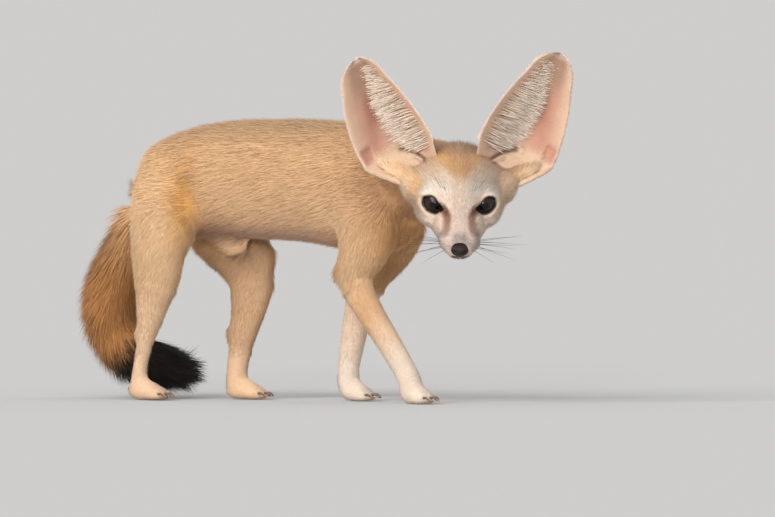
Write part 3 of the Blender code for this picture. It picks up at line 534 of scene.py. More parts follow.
def eye_edges(sign, radius, steps=6):
    """The opening of an eye as a closed line on a sphere round it, in the animal's frame."""
    rows = spline(EYE_OPENING, steps)
    edge = [(row[0], row[1]) for row in rows] + [(row[0], row[2]) for row in reversed(rows[1:-1])]
    found = []
    for across, up in edge:
        a, e = math.radians(across * sign), math.radians(up)
        point = Vector((math.cos(e) * math.cos(a), math.cos(e) * math.sin(a), math.sin(e))) * radius
        found.append(EYES[sign] @ point)
    return found


def eye_distance(points):
    """How far each point is from the edge of the nearer eye's opening."""
    best = np.full(len(points), 1e9)
    for sign in (1, -1):
        edge = eye_edges(sign, EYE_RADIUS + 0.8)
        far, _ = near_line(points, edge + edge[:1])
        best = np.minimum(best, far)
    return best


def is_node(labels, *words):
    """1 where the label's node name holds one of the words."""
    hit = np.array([any(word in name for word in words) for name in NODES], float)
    return hit[labels]


def coat_sizes(points, labels):
    """The coat's length and its depth over the skin at each point."""
    f, s, u = head_place(points).T
    face = smooth(-34, 30, f)
    cheek = smooth(9, 20, np.abs(s)) * smooth(8, -8, u) * smooth(14, 2, f)
    pads = smooth(14, 20, f) * smooth(-9, -15, u)
    nape = smooth(24, 44, -f)
    length = 6.8 - 4.6 * face + 2.6 * cheek + 1.5 * pads + 4 * nape
    depth = 1.7 - 1.4 * face + 0.5 * cheek + 1.9 * nape
    on_head = is_node(labels, "head")[:, None] > 0
    return np.where(on_head, np.stack([length, depth], 1), COAT_ROWS[labels, :2])


def shaped_skin():
    """The skin, smoothed where the body is broad, and drawn in by the depth of the coat."""
    skin = raw_skin()
    mesh = skin.data
    pairs = edge_pairs(mesh)
    points = mesh_points(mesh)
    labels = labels_of(points)
    head = is_node(labels, "head")
    behind = -head_place(points)[:, 0]
    broad = np.maximum(1 - head, head * smooth(8, 26, behind))
    broad = averaged(broad[:, None], pairs, 8)[:, 0]
    points = averaged(points, pairs, 26, 0.55 * broad)
    nape = smooth(26, 36, behind) * (1 - smooth(64, 80, behind))
    nape = nape * is_node(labels, "head", "neck")
    touched = pairs[(nape[pairs] > 0).any(axis=1)]
    points = averaged(points, touched, 110, 0.6 * nape)
    points = averaged(points, pairs, 3, np.full(len(points), 0.5))
    set_points(mesh, points)
    length, depth = averaged(coat_sizes(points, labels), pairs, 14).T
    near_eye = 1 - smooth(1, 5, eye_distance(points))
    depth = depth * (1 - near_eye)
    length = np.where(near_eye > 0, length * (1 - near_eye) + 1.6 * near_eye, length)
    points = points - read(mesh.vertices, "normal", 3) * depth[:, None]
    points = averaged(points, pairs, 3, np.full(len(points), 0.4))
    set_points(mesh, points)
    return skin, labels, length


# Markings


def spot(x, y, centre, size):
    """A soft round patch on a plane, 1 at its centre."""
    return np.exp(-(((x - centre[0]) / size[0]) ** 2 + ((y - centre[1]) / size[1]) ** 2))


def painted(base, count, layers):
    """A base colour under layers, each of them a share for each point and a colour."""
    colours = np.tile(np.array(base), (count, 1))
    for share, colour in layers:
        colours = blend(colours, share, colour)
    return colours


def body_colours(points, normals, labels):
    """Sand above, paler below, cream legs, ochre on the thigh and behind the elbow; painted shade on the far
    legs and in the groin, and in part on the shoulder.
    """
    x, y, z = points.T
    cloud = noise(points, 26, 1) * 0.6 + noise(points, 9, 2) * 0.4
    legs = is_node(labels, "foreleg", "paw", "thigh", "shank", "foot")
    fore = is_node(labels, "foreleg", "paw")
    trunk = is_node(labels, "torso")
    back = smooth(170, 200, z + 6 * cloud) * (1 - is_node(labels, "head"))
    belly = trunk * smooth(0.15, 0.9, -normals[:, 2]) * smooth(132, 118, z)
    lower = legs * smooth(100, 20, z + 8 * cloud)
    knee = spot(x, z, (84, 66), (12, 22)) * (y < 0)
    # Painted shade: the far hind leg is darkened, except where it faces out on the far side.
    far_leg_shade = is_node(labels, "thigh_left", "shank_left") * smooth(0.8, 0, normals[:, 1])
    inside = legs * smooth(0.2, 0.9, -np.sign(y) * normals[:, 1])
    thigh = spot(x, z, (-61, 140), (9.5, 30)) * smooth(-0.3, 0.5, -normals[:, 1])
    # Painted shade in the fold between the belly and the thigh.
    groin_shade = spot(x, z, (-42, 120), (17, 12)) * trunk
    # Darker brown on the shoulder: partly the coat's own colour, partly painted shade.
    shoulder = spot(x, z, (96, 156), (26, 34))
    elbow = spot(x, z, (56, 104), (9, 15))
    nape = is_node(labels, "neck") * smooth(0, 24, (x - 94) * 0.853 + (z - 160) * 0.52)
    chest = spot(x, z, (104, 120), (16, 26))
    # Painted shade: the far fore leg's upper part is darkened to a deep ochre-brown towards the elbow.
    far_foreleg_shade = is_node(labels, "foreleg_left_upper") * smooth(120, 96, z)
    shin = is_node(labels, "foreleg_left_lower", "paw_fore_left")
    wrist = fore * smooth(52, 24, z + 5 * cloud)
    layers = (
        (0.75 * smooth(168, 118, z + 8 * cloud), CREAM),
        (0.62 * back, BACK_BROWN),
        (0.8 * belly, PINK_CREAM),
        (lower * (0.35 + 0.3 * fore), WHITE),
        (0.55 * knee, (0.72, 0.36, 0.13)),
        # painted shade on the far hind leg
        (0.6 * far_leg_shade, (0.5, 0.25, 0.12)),
        (0.4 * inside, CREAM),
        (0.85 * thigh, (0.7, 0.32, 0.07)),
        # painted shade in the groin
        (0.6 * groin_shade, (0.36, 0.19, 0.11)),
        # the shoulder's brown, in part painted shade
        (0.6 * shoulder, (0.42, 0.22, 0.12)),
        (0.35 * elbow, OCHRE),
        (0.8 * nape, NAPE),
        (0.75 * chest, (0.72, 0.34, 0.11)),
        # painted shade on the far upper fore leg
        (0.65 * far_foreleg_shade, (0.46, 0.21, 0.07)),
        (0.7 * shin, WHITE),
        (0.6 * wrist, BROW_WHITE),
    )
    return painted(SAND, len(points), layers) * (1 + 0.07 * cloud)[:, None]


FACE_UP = (-0.437, 0, 0.9)  # up the face as it is seen from in front
BROW_LINE = ((8, 7, 0), (12, 10.5, 0), (19, 11.5, 0), (25, 8, 0))
# EAR_NOTCH: where a line of painted shade runs on the head below the ear's notch
EAR_NOTCH = ((31, 36, 0), (23, 28.5, 0))
TEAR_LINE = ((9.6, -5, 0), (8, -9, 0), (8.6, -14, 0), (10, -19.5, 0))


def head_colours(points):
    """A pale face with a buff forehead, tear stripes, a mauve bridge, dark rims round the eyes, and a line of
    painted shade where the ear's notch runs down.
    """
    local = head_place(points)
    f, side, u = local.T
    s = np.abs(side)
    p = local @ np.array(FACE_UP)
    flat = np.stack([s, p, np.zeros(len(s))], 1)
    cloud = noise(points, 7, 3) * 0.6 + noise(points, 2.6, 6) * 0.4
    outer = smooth(20, 34, s) * smooth(-12, 4, p)
    temple = spot(s, p, (28.5, 12), (5, 8.5)) * (0.85 - 0.5 * smooth(-4, 8, side))
    brow, _ = near_line(flat, BROW_LINE)
    notch_shade, _ = near_line(flat, EAR_NOTCH)
    width = 3.5 + 0.62 * np.clip(p - 15, 0, 30)
    stripe = smooth(9, 22, p + 2 * cloud) * smooth(1.25, 0.55, s / width)
    behind = smooth(30, 42, -f)
    high = smooth(24, 36, p)
    crown = np.maximum(smooth(33, 42, p + 1.5 * cloud) * smooth(14, 8, s), behind * high)
    far, along = near_line(flat, TEAR_LINE)
    tear = smooth(4.3, 1.2, far + 0.5 * cloud) * (1 - 0.22 * along) * smooth(0, 6, f + 6)
    pads = spot(s, p, (9.5, -26.5), (6, 7)) * smooth(8, 18, f)
    bridge = smooth(-16, -23, p) * smooth(6, 3, s) * smooth(-19, -15, u)
    dots = smooth(0.35, 0.75, noise(points, 1.5, 15)) * spot(s, p, (11, -25), (4, 5))
    mouth, _ = near_line(np.stack([f, s, u], 1), spline(MOUTH_LINE, 3))
    corner = spot(s, p, (8.9, -5.6), (1.5, 1.2)) * smooth(-6, 0, f)
    layers = (
        (0.75 * outer, (0.98, 0.68, 0.44)),
        (0.75 * smooth(15, 27, p + 1.5 * cloud), CREAM),
        (temple, BUFF),
        (0.92 * smooth(29, 38, s + 0.4 * cloud), WEB),
        (0.45 * spot(s, p, (36, 21), (8, 6)), BUFF),
        (0.8 * smooth(4, 1, brow), BROW_WHITE),
        # painted shade below the ear's notch
        (0.9 * smooth(2.4, 0.4, notch_shade) * smooth(2, 8, -f - 14), (0.07, 0.03, 0.022)),
        (0.85 * stripe, FOREHEAD),
        (0.9 * spot(s, p, (12.5, 34), (4.6, 7.5)), GOLD),
        (0.85 * crown, CROWN_BROWN),
        (0.8 * behind * (1 - high), SAND),
        (0.8 * smooth(34, 44, -f), NAPE),
        (0.92 * tear, TEAR),
        (0.45 * smooth(6, -2, p) * smooth(7, 4, s), (0.66, 0.5, 0.42)),
        (0.85 * pads, MUZZLE_GREY),
        (0.8 * bridge, MAUVE),
        (0.55 * dots, (0.2, 0.13, 0.11)),
        (0.9 * smooth(2.2, 0.6, mouth), (0.09, 0.035, 0.025)),
        (smooth(1.5, 0.5, eye_distance(points)), DARK_RIM),
        (0.9 * corner, DARK_RIM),
    )
    return painted(WHITE, len(points), layers) * (1 + 0.05 * cloud)[:, None]


def tail_colours(points):
    """Golden brown, darker outside, black from the bend to the tip."""
    _, along = near_line(points, TAIL_LINE)
    cloud = noise(points, 12, 4)
    at = np.clip((along * (len(TAIL_LINE) - 1)).round().astype(int), 0, len(TAIL_LINE) - 1)
    outer = smooth(-0.2, 1, -(points - TAIL_LINE[at])[:, 0] / 12)
    dark = 0.8 * bump_at(along, 0.3, 0.16) * outer + 0.3 * outer * smooth(0.1, 0.3, along)
    layers = (
        (0.85 * smooth(0.45, 0.1, along), SAND),
        (dark, TAIL_DARK),
        (smooth(0.7, 0.77, along + 0.02 * cloud), BLACK),
    )
    return painted(TAIL_GOLD, len(points), layers) * (1 + 0.12 * cloud)[:, None]


def ear_foot(along, across):
    """1 at the cup's foot, where fur covers its skin."""
    return 1 - smooth(-0.03, 0.06, along - 0.17 - 0.3 * np.minimum(across, 0.2))


def ear_colours(place):
    """The cup: pink in its fold, pale at its edges and foot, and sandy behind, with painted shade along the
    long fold, in the pocket's crease and down the groove to the canal.
    """
    along, across, back = place.T
    wide = np.abs(across)
    cloud = noise(np.stack([along * 80, across * 25, back * 9], 1), 6, 5)
    middle = 0.52 - 0.42 * (along - 0.4)
    pink = bump_at(across, middle, 0.5) * smooth(0.12, 0.3, along) * smooth(0.88, 0.6, along)
    # Painted shade along the cup's long soft fold.
    fold_shade = bump_at(across, middle - 0.16, 0.3) * bump_at(along, 0.6, 0.3)
    pale = smooth(0.6, 0.95, across) * (0.55 + 0.45 * smooth(0.3, 0.5, along))
    pocket = pocket_share(along, across)
    # Painted shade in the crease round the pocket.
    crease_shade = pocket * smooth(0.6, 0, np.abs(pocket - 0.45) / 0.45)
    rim = np.maximum(smooth(0.93, 1, wide), smooth(0.95, 1, along))
    layers = (
        (0.9 * pink, PINK),
        # painted shade in the fold
        (0.8 * fold_shade, (0.36, 0.15, 0.09)),
        (0.75 * smooth(0.6, 0.85, along) * smooth(0.85, 0.45, wide), EAR_BROWN),
        (0.85 * pale, (0.84, 0.56, 0.38)),
        (0.75 * smooth(0.5, 0.9, -across), (0.84, 0.58, 0.4)),
        (0.9 * ear_foot(along, across), EAR_FOOT),
        (0.75 * pocket, (0.66, 0.29, 0.2)),
        # painted shade in the pocket's crease
        (0.7 * crease_shade, (0.3, 0.09, 0.06)),
        # painted shade down the groove to the canal
        (0.8 * canal_share(along, across), (0.12, 0.05, 0.035)),
        (0.7 * rim, (0.8, 0.58, 0.48)),
    )
    inside = painted((0.7, 0.43, 0.31), len(place), layers)
    outside = painted((0.46, 0.29, 0.18), len(place), ((0.6 * smooth(0.3, 1, wide), (0.7, 0.47, 0.33)),))
    return np.where((back > 0.5)[:, None], outside, inside) * (1 + 0.05 * cloud)[:, None]


# The lie of the coat


def lie_of(points, labels):
    """The way the hair points at each place on the body."""
    front = is_node(labels, "torso") * smooth(84, 104, points[:, 0])
    lie = blend(COAT_ROWS[labels, 2:], front, (-0.3, 0, -0.95))
    tail = is_node(labels, "tail") > 0
    _, along = near_line(points[tail], TAIL_LINE)
    step = np.gradient(TAIL_LINE, axis=0)
    at = along * (len(TAIL_LINE) - 1)
    lie[tail] = np.stack([np.interp(at, np.arange(len(TAIL_LINE)), step[:, k]) for k in range(3)], 1)
    head = is_node(labels, "head") > 0
    f, s, u = head_place(points[head]).T
    cheek = smooth(10, 24, np.abs(s))
    jaw = smooth(9, 20, np.abs(s)) * smooth(4, -10, u)
    pad = smooth(12, 22, f) * smooth(-8, -16, u)
    brow = smooth(-2, 6, u) * smooth(-8, 8, -f) * (1 - cheek)
    ahead = -1 + 0.45 * jaw
    out = np.sign(s) * (0.85 * np.maximum(cheek, jaw) + 0.9 * pad + 0.28 * brow)
    up = -0.75 * jaw + 0.75 * cheek * smooth(2, 14, u) - 0.45 * pad
    lie[head] = np.stack([ahead, out, up], 1) @ HEAD_TURN.T
    return unit(lie)


def tangent_to(lie, normals):
    return unit(lie - normals * np.sum(lie * normals, axis=1, keepdims=True))


# Tufts

LOWEST = 0.2  # no hair reaches nearer to the floor
PATCH = 0.003  # a tuft's patch on the unwrap
LARGEST_PIECE = 180000
ROOT_VALUES = ("points", "normals", "lie", "colours", "place", "length")
COAT = []


def face_crosses(corners):
    """The cross product of two edges of each triangle."""
    return np.cross(corners[:, 1] - corners[:, 0], corners[:, 2] - corners[:, 0])


def planted(data, weight, count):
    """Random roots on the skin by area and weight, with the skin's values at each."""
    area = 0.5 * np.linalg.norm(face_crosses(data.points[data.triangles]), axis=1)
    chance = area * weight[data.triangles].mean(1)
    picked = RANDOM.choice(len(area), count, p=chance / chance.sum())
    a, b = RANDOM.random(count), RANDOM.random(count)
    over = a + b > 1
    a, b = np.where(over, 1 - a, a), np.where(over, 1 - b, b)
    shares = np.stack([1 - a - b, a, b], 1)
    corners = {key: vars(data)[key][data.triangles[picked]] for key in ROOT_VALUES}
    corners["uv"] = data.uv[picked]
    at = SimpleNamespace(**{key: np.einsum("nkc,nk->nc", rows, shares) for key, rows in corners.items()})
    at.normals = unit(at.normals)
    return at


def turned(lie, normals, angles):
    """The lie turned about the normal."""
    side = np.cross(normals, lie)
    return lie * np.cos(angles)[:, None] + side * np.sin(angles)[:, None]


def tuft_mesh(tufts, sections):
    """Closed three-sided tapered tufts, which rise at one angle at the root and end at another."""
    count = len(tufts.points)
    normals, lie, length = tufts.normals, tufts.lie, tufts.length[:, None]
    side = np.cross(normals, lie)
    rings = []
    centre = tufts.points - normals * (0.5 + 0.04 * length)
    for k in range(sections):
        t = k / sections
        half = tufts.width[:, None] * 0.5 * (1 - 0.55 * t)
        rings += [centre - side * half, centre + side * half, centre + normals * half * 0.7]
        angle = tufts.rises + (tufts.bends - tufts.rises) * (k + 0.5) / sections
        step = lie * np.cos(angle)[:, None] + normals * np.sin(angle)[:, None]
        centre = centre + step * (length / sections)
    rings.append(centre)
    per = len(rings)
    points = np.stack(rings, 1)
    points[:, :, 2] = np.maximum(points[:, :, 2], LOWEST)
    faces = [(0, 1, 2)]
    for k in range(sections - 1):
        for j in range(3):
            a, b = 3 * k + j, 3 * k + (j + 1) % 3
            faces += [(b, a, a + 3), (b, a + 3, b + 3)]
    last = 3 * (sections - 1)
    faces += [(last + (j + 1) % 3, last + j, per - 1) for j in range(3)]
    faces = np.array(faces)[:, ::-1]
    triangles = (np.arange(count)[:, None, None] * per + faces[None]).reshape(-1, 3)
    share = np.append(np.repeat(np.arange(sections) / sections, 3), 1)[None, :, None]
    shade = tufts.colours[:, None, :] * (1 - share) + tufts.tips[:, None, :] * share
    across = np.append(np.tile((-0.5, 0.5, 0), sections), 0)
    offsets = np.stack([across, share.ravel() - 0.5], 1) * PATCH
    places = np.clip(tufts.uv[:, None, :] + offsets[None], 0, 1)
    return points.reshape(-1, 3), triangles, shade.reshape(-1, 3), places.reshape(-1, 2)


def mesh_object(name, points, triangles, colours, places, normals):
    """A piece of coat from arrays, with its colours and its map."""
    mesh = bpy.data.meshes.new(name)
    mesh.vertices.add(len(points))
    mesh.vertices.foreach_set("co", applied(TO_SCENE, points).astype(np.float32).ravel())
    mesh.loops.add(len(triangles) * 3)
    mesh.loops.foreach_set("vertex_index", triangles.astype(np.int32).ravel())
    mesh.polygons.add(len(triangles))
    mesh.polygons.foreach_set("loop_start", np.arange(0, len(triangles) * 3, 3, dtype=np.int32))
    mesh.update(calc_edges=True)
    mesh.polygons.foreach_set("use_smooth", np.ones(len(triangles), bool))
    set_colours(mesh, colours)
    layer = mesh.uv_layers.new(name="OFBake")
    layer.data.foreach_set("uv", places[triangles.ravel()].astype(np.float32).ravel())
    mesh.materials.append(bpy.data.materials["fur"])
    mesh.normals_split_custom_set_from_vertices(normals.astype(np.float32))
    return placed(name, mesh)


def add_tufts(name, slot, tufts, sections, soft):
    """One or more pieces of coat, each under the largest number of triangles."""
    chunk = LARGEST_PIECE // (4 + 6 * (sections - 1))
    for number, start in enumerate(range(0, len(tufts.points), chunk)):
        part = SimpleNamespace(**{key: rows[start : start + chunk] for key, rows in vars(tufts).items()})
        points, triangles, shade, places = tuft_mesh(part, sections)
        crosses = face_crosses(points[triangles])
        own = np.zeros_like(points)
        for k in range(3):
            np.add.at(own, triangles[:, k], crosses)
        facing = np.repeat(part.facing, len(points) // len(part.facing), axis=0)
        normals = unit(unit(own) * (1 - soft) + facing * soft)
        obj = mesh_object(f"coat_{name}_{number + 1}", points, triangles, shade, places, normals)
        COAT.append((obj, slot))


# Materials


def feed(material, node, inputs):
    """Puts a value, or a link from another node, on each of a node's inputs."""
    for name, value in inputs.items():
        if isinstance(value, bpy.types.NodeSocket):
            material.node_tree.links.new(value, node.inputs[name])
        else:
            node.inputs[name].default_value = value


def add_node(material, kind, inputs, output):
    """The output of a new node."""
    node = material.node_tree.nodes.new(f"ShaderNode{kind}")
    feed(material, node, inputs)
    return node.outputs[output]


def set_look(material, inputs):
    feed(material, material.node_tree.nodes["Principled BSDF"], inputs)


def new_material(name, inputs):
    material = bpy.data.materials.new(name)
    material.use_nodes = True
    set_look(material, inputs)
    return material


def vary_paint(material, noise_inputs, spread):
    """Shows the colours written on the mesh, varied by fine noise."""
    nodes = material.node_tree.nodes
    paint = nodes.new("ShaderNodeAttribute")
    paint.attribute_name = "coat"
    grain = add_node(material, "TexNoise", noise_inputs, "Fac")
    mix = nodes.new("ShaderNodeVectorMath")
    mix.operation = "SCALE"
    scale = add_node(material, "MapRange", {"Value": grain, **spread}, "Result")
    feed(material, mix, {"Vector": paint.outputs["Color"], "Scale": scale})
    set_look(material, {"Base Color": mix.outputs["Vector"]})


def fur_material(name, roughness, sheen, noise_size, contrast):
    """The painted colour under a soft sheen."""
    look = {"Roughness": roughness, "Specular IOR Level": 0.2, "Sheen Weight": sheen, "Sheen Roughness": 0.5}
    material = new_material(name, look)
    spread = {"From Min": 0.3, "From Max": 0.7, "To Min": 1 - contrast, "To Max": 1 + contrast}
    vary_paint(material, {"Scale": noise_size, "Detail": 4}, spread)
    return material


def skin_material():
    """The skin under the coat, with a fine grain."""
    material = fur_material("skin", 0.75, 0.08, 300, 0.08)
    fine = add_node(material, "TexNoise", {"Scale": 900, "Detail": 3}, "Fac")
    bump = add_node(material, "Bump", {"Strength": 0.4, "Distance": 0.0006, "Height": fine}, "Normal")
    set_look(material, {"Normal": bump})
    return material


def eye_material():
    """A very dark brown iris with a black pupil, painted on, under a wet gloss."""
    material = new_material("eye_gloss", {"Roughness": 0.03, "Specular IOR Level": 0.3})
    vary_paint(material, {"Scale": 1400, "Detail": 5}, {"To Min": 0.6, "To Max": 1.4})
    return material


def tint(material, value, dark, light):
    """Colours the material between dark and light by a value."""
    ramp = material.node_tree.nodes.new("ShaderNodeValToRGB")
    for element, colour in zip(ramp.color_ramp.elements, (dark, light)):
        element.color = (*colour, 1)
    feed(material, ramp, {"Fac": value})
    set_look(material, {"Base Color": ramp.outputs["Color"]})


def leather_material():
    """Dark, moist leather with a fine pebbled grain."""
    material = new_material("nose_leather", {"Roughness": 0.4, "Specular IOR Level": 0.28})
    pebbles = add_node(material, "TexVoronoi", {"Scale": 1500}, "Distance")
    tint(material, pebbles, (0.011, 0.005, 0.005), (0.03, 0.013, 0.012))
    bump = add_node(material, "Bump", {"Strength": 0.5, "Distance": 0.0002, "Height": pebbles}, "Normal")
    set_look(material, {"Normal": bump})
    return material


def horn_material(name, dark, light, roughness):
    """A plain dark or pale strand or claw with a little grain in it."""
    material = new_material(name, {"Roughness": roughness})
    tint(material, add_node(material, "TexNoise", {"Scale": 400}, "Fac"), dark, light)
    return material


# Building


def join_ears(skin, labels, lengths):
    """Adds the ears' thin cups to the skin's mesh, and gives each vertex its place in an ear or nothing."""
    bm = bmesh.new()
    bm.from_mesh(skin.data)
    body_count = len(bm.verts)
    places = [np.full((body_count, 3), -9)]
    signs = [np.zeros(body_count)]
    for _, sign in SIDES:
        points, faces, place = ear_mesh(sign)
        made = [bm.verts.new(p) for p in points]
        for face in faces:
            bm.faces.new([made[i] for i in face])
        places.append(place)
        signs.append(np.full(len(points), float(sign)))
    bm.verts.index_update()
    bmesh.ops.triangulate(bm, faces=bm.faces)
    bm.to_mesh(skin.data)
    bm.free()
    places, signs = np.concatenate(places), np.concatenate(signs)
    extra = len(places) - body_count
    labels = np.concatenate([labels, np.full(extra, NODES.index("head"))])
    lengths = np.concatenate([lengths, np.full(extra, 3)])
    return places, signs, labels, lengths


def unwrap(obj):
    """An unwrap of the object's own shape, in a map named OFBake."""
    bpy.context.view_layer.objects.active = obj
    for other in bpy.context.selected_objects:
        other.select_set(False)
    obj.select_set(True)
    obj.data.uv_layers.new(name="OFBake")
    bpy.ops.object.mode_set(mode="EDIT")
    bpy.ops.mesh.select_all(action="SELECT")
    bpy.ops.uv.smart_project(angle_limit=math.radians(66), island_margin=0.002)
    bpy.ops.object.mode_set(mode="OBJECT")


def build_skin():
    """The skin with its colours and its unwrap, and the values at its vertices that the coat follows."""
    skin, labels, lengths = shaped_skin()
    places, signs, labels, lengths = join_ears(skin, labels, lengths)
    mesh = skin.data
    points, normals = mesh_points(mesh), read(mesh.vertices, "normal", 3)
    in_ear = signs != 0
    head = (is_node(labels, "head") > 0) & ~in_ear
    tail = is_node(labels, "tail") > 0
    pairs = edge_pairs(mesh)
    colours = body_colours(points, normals, labels)
    colours[head] = head_colours(points[head])
    colours[tail] = tail_colours(points[tail])
    soft = averaged(colours, pairs, 10)
    edge = averaged(np.stack([head, tail], 1).astype(float), pairs, 12).max(1)
    colours = blend(colours, edge * (1 - edge) * 4, soft)
    colours[in_ear] = ear_colours(places[in_ear])
    lie = unit(averaged(lie_of(points, labels), pairs, 24))
    set_colours(mesh, colours * 0.8)
    mesh.shade_smooth()
    unwrap(skin)
    return skin, SimpleNamespace(
        points=points, normals=normals, labels=labels, length=lengths[:, None], place=places, sign=signs,
        colours=colours, lie=lie, triangles=read(mesh.polygons, "vertices", 3, np.int32),
        uv=read(mesh.uv_layers["OFBake"].data, "uv", 2).reshape(-1, 3, 2),
    )


def grow(
    name, slot, data, weight, count, wide, rise, bend=None,
    sections=1, ticks=0, shade=0.9, long=1, soft=0.7, wild=0.5, tones=0.07,
):
    """Scatters tufts over part of the skin and adds them as pieces of coat."""
    at = planted(data, weight, count)
    swirl = 0.16 * noise(at.points, 17, 8) + 0.24 * wild * noise(at.points, 5, 9)
    swirl += RANDOM.normal(0, 0.1, count)
    at.lie = turned(tangent_to(at.lie, at.normals), at.normals, swirl)
    at.length = at.length[:, 0] * long * RANDOM.uniform(0.72, 1.12, count)
    at.length *= 1 + 0.14 * wild * noise(at.points, 6, 10)
    at.width = wide * RANDOM.uniform(0.75, 1.25, count)
    tone = 1 + tones * RANDOM.normal(0, 1, count) + 0.04 * noise(at.points, 4, 11)
    # Painted shade: each tuft's root is darkened by the shade factor, as the coat shades itself; its tip is a
    # little lighter.
    at.tips = at.colours * (tone * 1.06)[:, None]
    at.colours = at.colours * (tone * shade)[:, None]
    if ticks:
        dark = RANDOM.random(count) < smooth(60, 196, at.points[:, 2]) * ticks
        at.tips[dark] *= 0.45
    at.rises = np.radians(rise) * RANDOM.uniform(0.8, 1.2, count) + 0.1 * wild * noise(at.points, 8, 12)
    at.bends = np.radians(rise if bend is None else bend) + 0.1 * RANDOM.normal(0, 1, count)
    local = head_place(at.points)
    web = smooth(29, 37, np.abs(local[:, 1])) * smooth(4, 12, local[:, 2]) * (name == "head")
    at.facing = unit(at.normals + 1.6 * web[:, None] * HEAD_TURN[:, 0])
    add_tufts(name, slot, at, sections, soft)


def build_coat(data):
    """The coat of the body, the head and the tail."""
    free = data.sign == 0
    local = head_place(data.points)
    bare = (eye_distance(data.points) > 0.9) & (np.linalg.norm(local - np.array(NOSE_PLACE), axis=1) > 6)
    head = is_node(data.labels, "head") * free * bare * (1 + 2.2 * smooth(-30, 0, local[:, 0]))
    torso = is_node(data.labels, "torso") * free
    neck = is_node(data.labels, "neck") * free
    upper = is_node(data.labels, "thigh", "upper") * free
    lower = is_node(data.labels, "shank", "lower") * free
    feet = is_node(data.labels, "paw", "foot") * free * (data.points[:, 2] > 0.8)
    tail = is_node(data.labels, "tail") * free
    grow("torso", "sand_coat", data, torso, 77000, 0.55, 17, ticks=0.22, wild=0.35)
    grow("neck", "sand_coat", data, neck, 25000, 0.55, 17, ticks=0.2, wild=0.35)
    grow("thighs", "sand_coat", data, upper, 36000, 0.52, 16, wild=0.35)
    grow("shanks", "cream_coat", data, lower, 26000, 0.5, 15, wild=0.4)
    grow("feet", "cream_coat", data, feet, 14000, 0.42, 18, shade=0.88)
    grow("head", "cream_coat", data, head, 74000, 0.42, 24, ticks=0.08, shade=0.84, soft=0.45, tones=0.15)
    grow("tail", "tail_coat", data, tail, 21000, 0.85, 36, 10, sections=2, shade=0.88, long=1.06)


def strand_hair(at, way, count):
    """Long pale strands that lie across the cup from its inner edge."""
    at.lie = way.out + way.up * (0.12 + 0.5 * smooth(0.5, 0.9, at.along))[:, None]
    at.length = RANDOM.uniform(9, 18, count) * (1 - 0.45 * smooth(0.55, 0.9, at.along))
    at.length *= (0.65 + 0.35 * smooth(0, 0.5, -at.across)) * (0.65 + 0.35 * bump_at(at.along, 0.4, 0.45))
    at.width = RANDOM.uniform(0.34, 0.66, count)
    pale = RANDOM.uniform(0.75, 1.05, count)[:, None]
    slope = 40 * np.clip(-at.across, 0, 1)
    at.rises = np.radians(0.6 * slope + RANDOM.uniform(10, 30, count))
    at.bends = np.radians(slope + RANDOM.uniform(4, 14, count))
    at.colours, at.tips = np.array(STRAND_ROOT) * pale, np.array(STRAND_TIP) * pale


def down_hair(at, way, count):
    """Short down inside the cup, longer at its foot."""
    at.lie = way.up * 0.8 + way.out * np.where(at.across > 0.3, 0.8, 0.9)[:, None]
    foot = ear_foot(at.along, at.across) * (at.across < 0.75)
    at.length = RANDOM.uniform(1.4, 2.8, count) + 2.6 * foot
    at.width = RANDOM.uniform(0.22, 0.36, count) + 0.1 * foot
    at.rises = np.radians(RANDOM.uniform(8, 22, count))
    at.bends = at.rises * 0.7
    # Painted shade at the roots of the longer down at the cup's foot.
    at.colours, at.tips = at.colours * (1 - 0.22 * foot[:, None]), at.colours * 1.08


def back_hair(at, way, count):
    """Short fur on the back of the ear."""
    at.lie = way.up + way.out * (0.35 * at.across)[:, None]
    at.length = RANDOM.uniform(2.6, 4.6, count)
    at.width = RANDOM.uniform(0.45, 0.7, count)
    at.rises = np.radians(RANDOM.uniform(8, 20, count))
    at.bends = at.rises * 0.6
    at.tips = at.colours * 1.1


def rim_hair(at, way, count):
    """A fine pale edge round the cup."""
    at.lie = way.out * (np.sign(at.across) * (1 - smooth(0.8, 1, at.along)))[:, None] + way.up * 0.8
    low = 1 - smooth(0.1, 0.3, at.along)
    at.length = RANDOM.uniform(1.3, 2.4, count) * (1 + 0.8 * low)
    at.width = RANDOM.uniform(0.28, 0.42, count)
    at.rises = at.bends = np.radians(RANDOM.uniform(0, 25, count))
    at.colours = painted((0.8, 0.6, 0.48), count, ((0.8 * low, EAR_FOOT),))
    at.tips = at.colours * 1.1


def ear_tufts(name, slot, hair, data, weight, count, way, seed, sections=1, soft=0.6, facing=(1, 0, 0)):
    """Tufts on an ear, lit by their shares of the skin's normals, the cup's front and their own lie."""
    at = planted(data, weight, count)
    at.along, at.across = at.place[:, 0], at.place[:, 1]
    hair(at, way, count)
    clump = 0.26 * noise(at.points, 4.5, seed) + RANDOM.normal(0, 0.09, count)
    at.lie = turned(tangent_to(at.lie, at.normals), at.normals, clump)
    tone = (1 + 0.08 * RANDOM.normal(0, 1, count))[:, None]
    at.colours, at.tips = at.colours * tone, at.tips * tone
    at.facing = unit(facing[0] * at.normals + facing[1] * way.face + facing[2] * at.lie)
    add_tufts(name, slot, at, sections, soft)


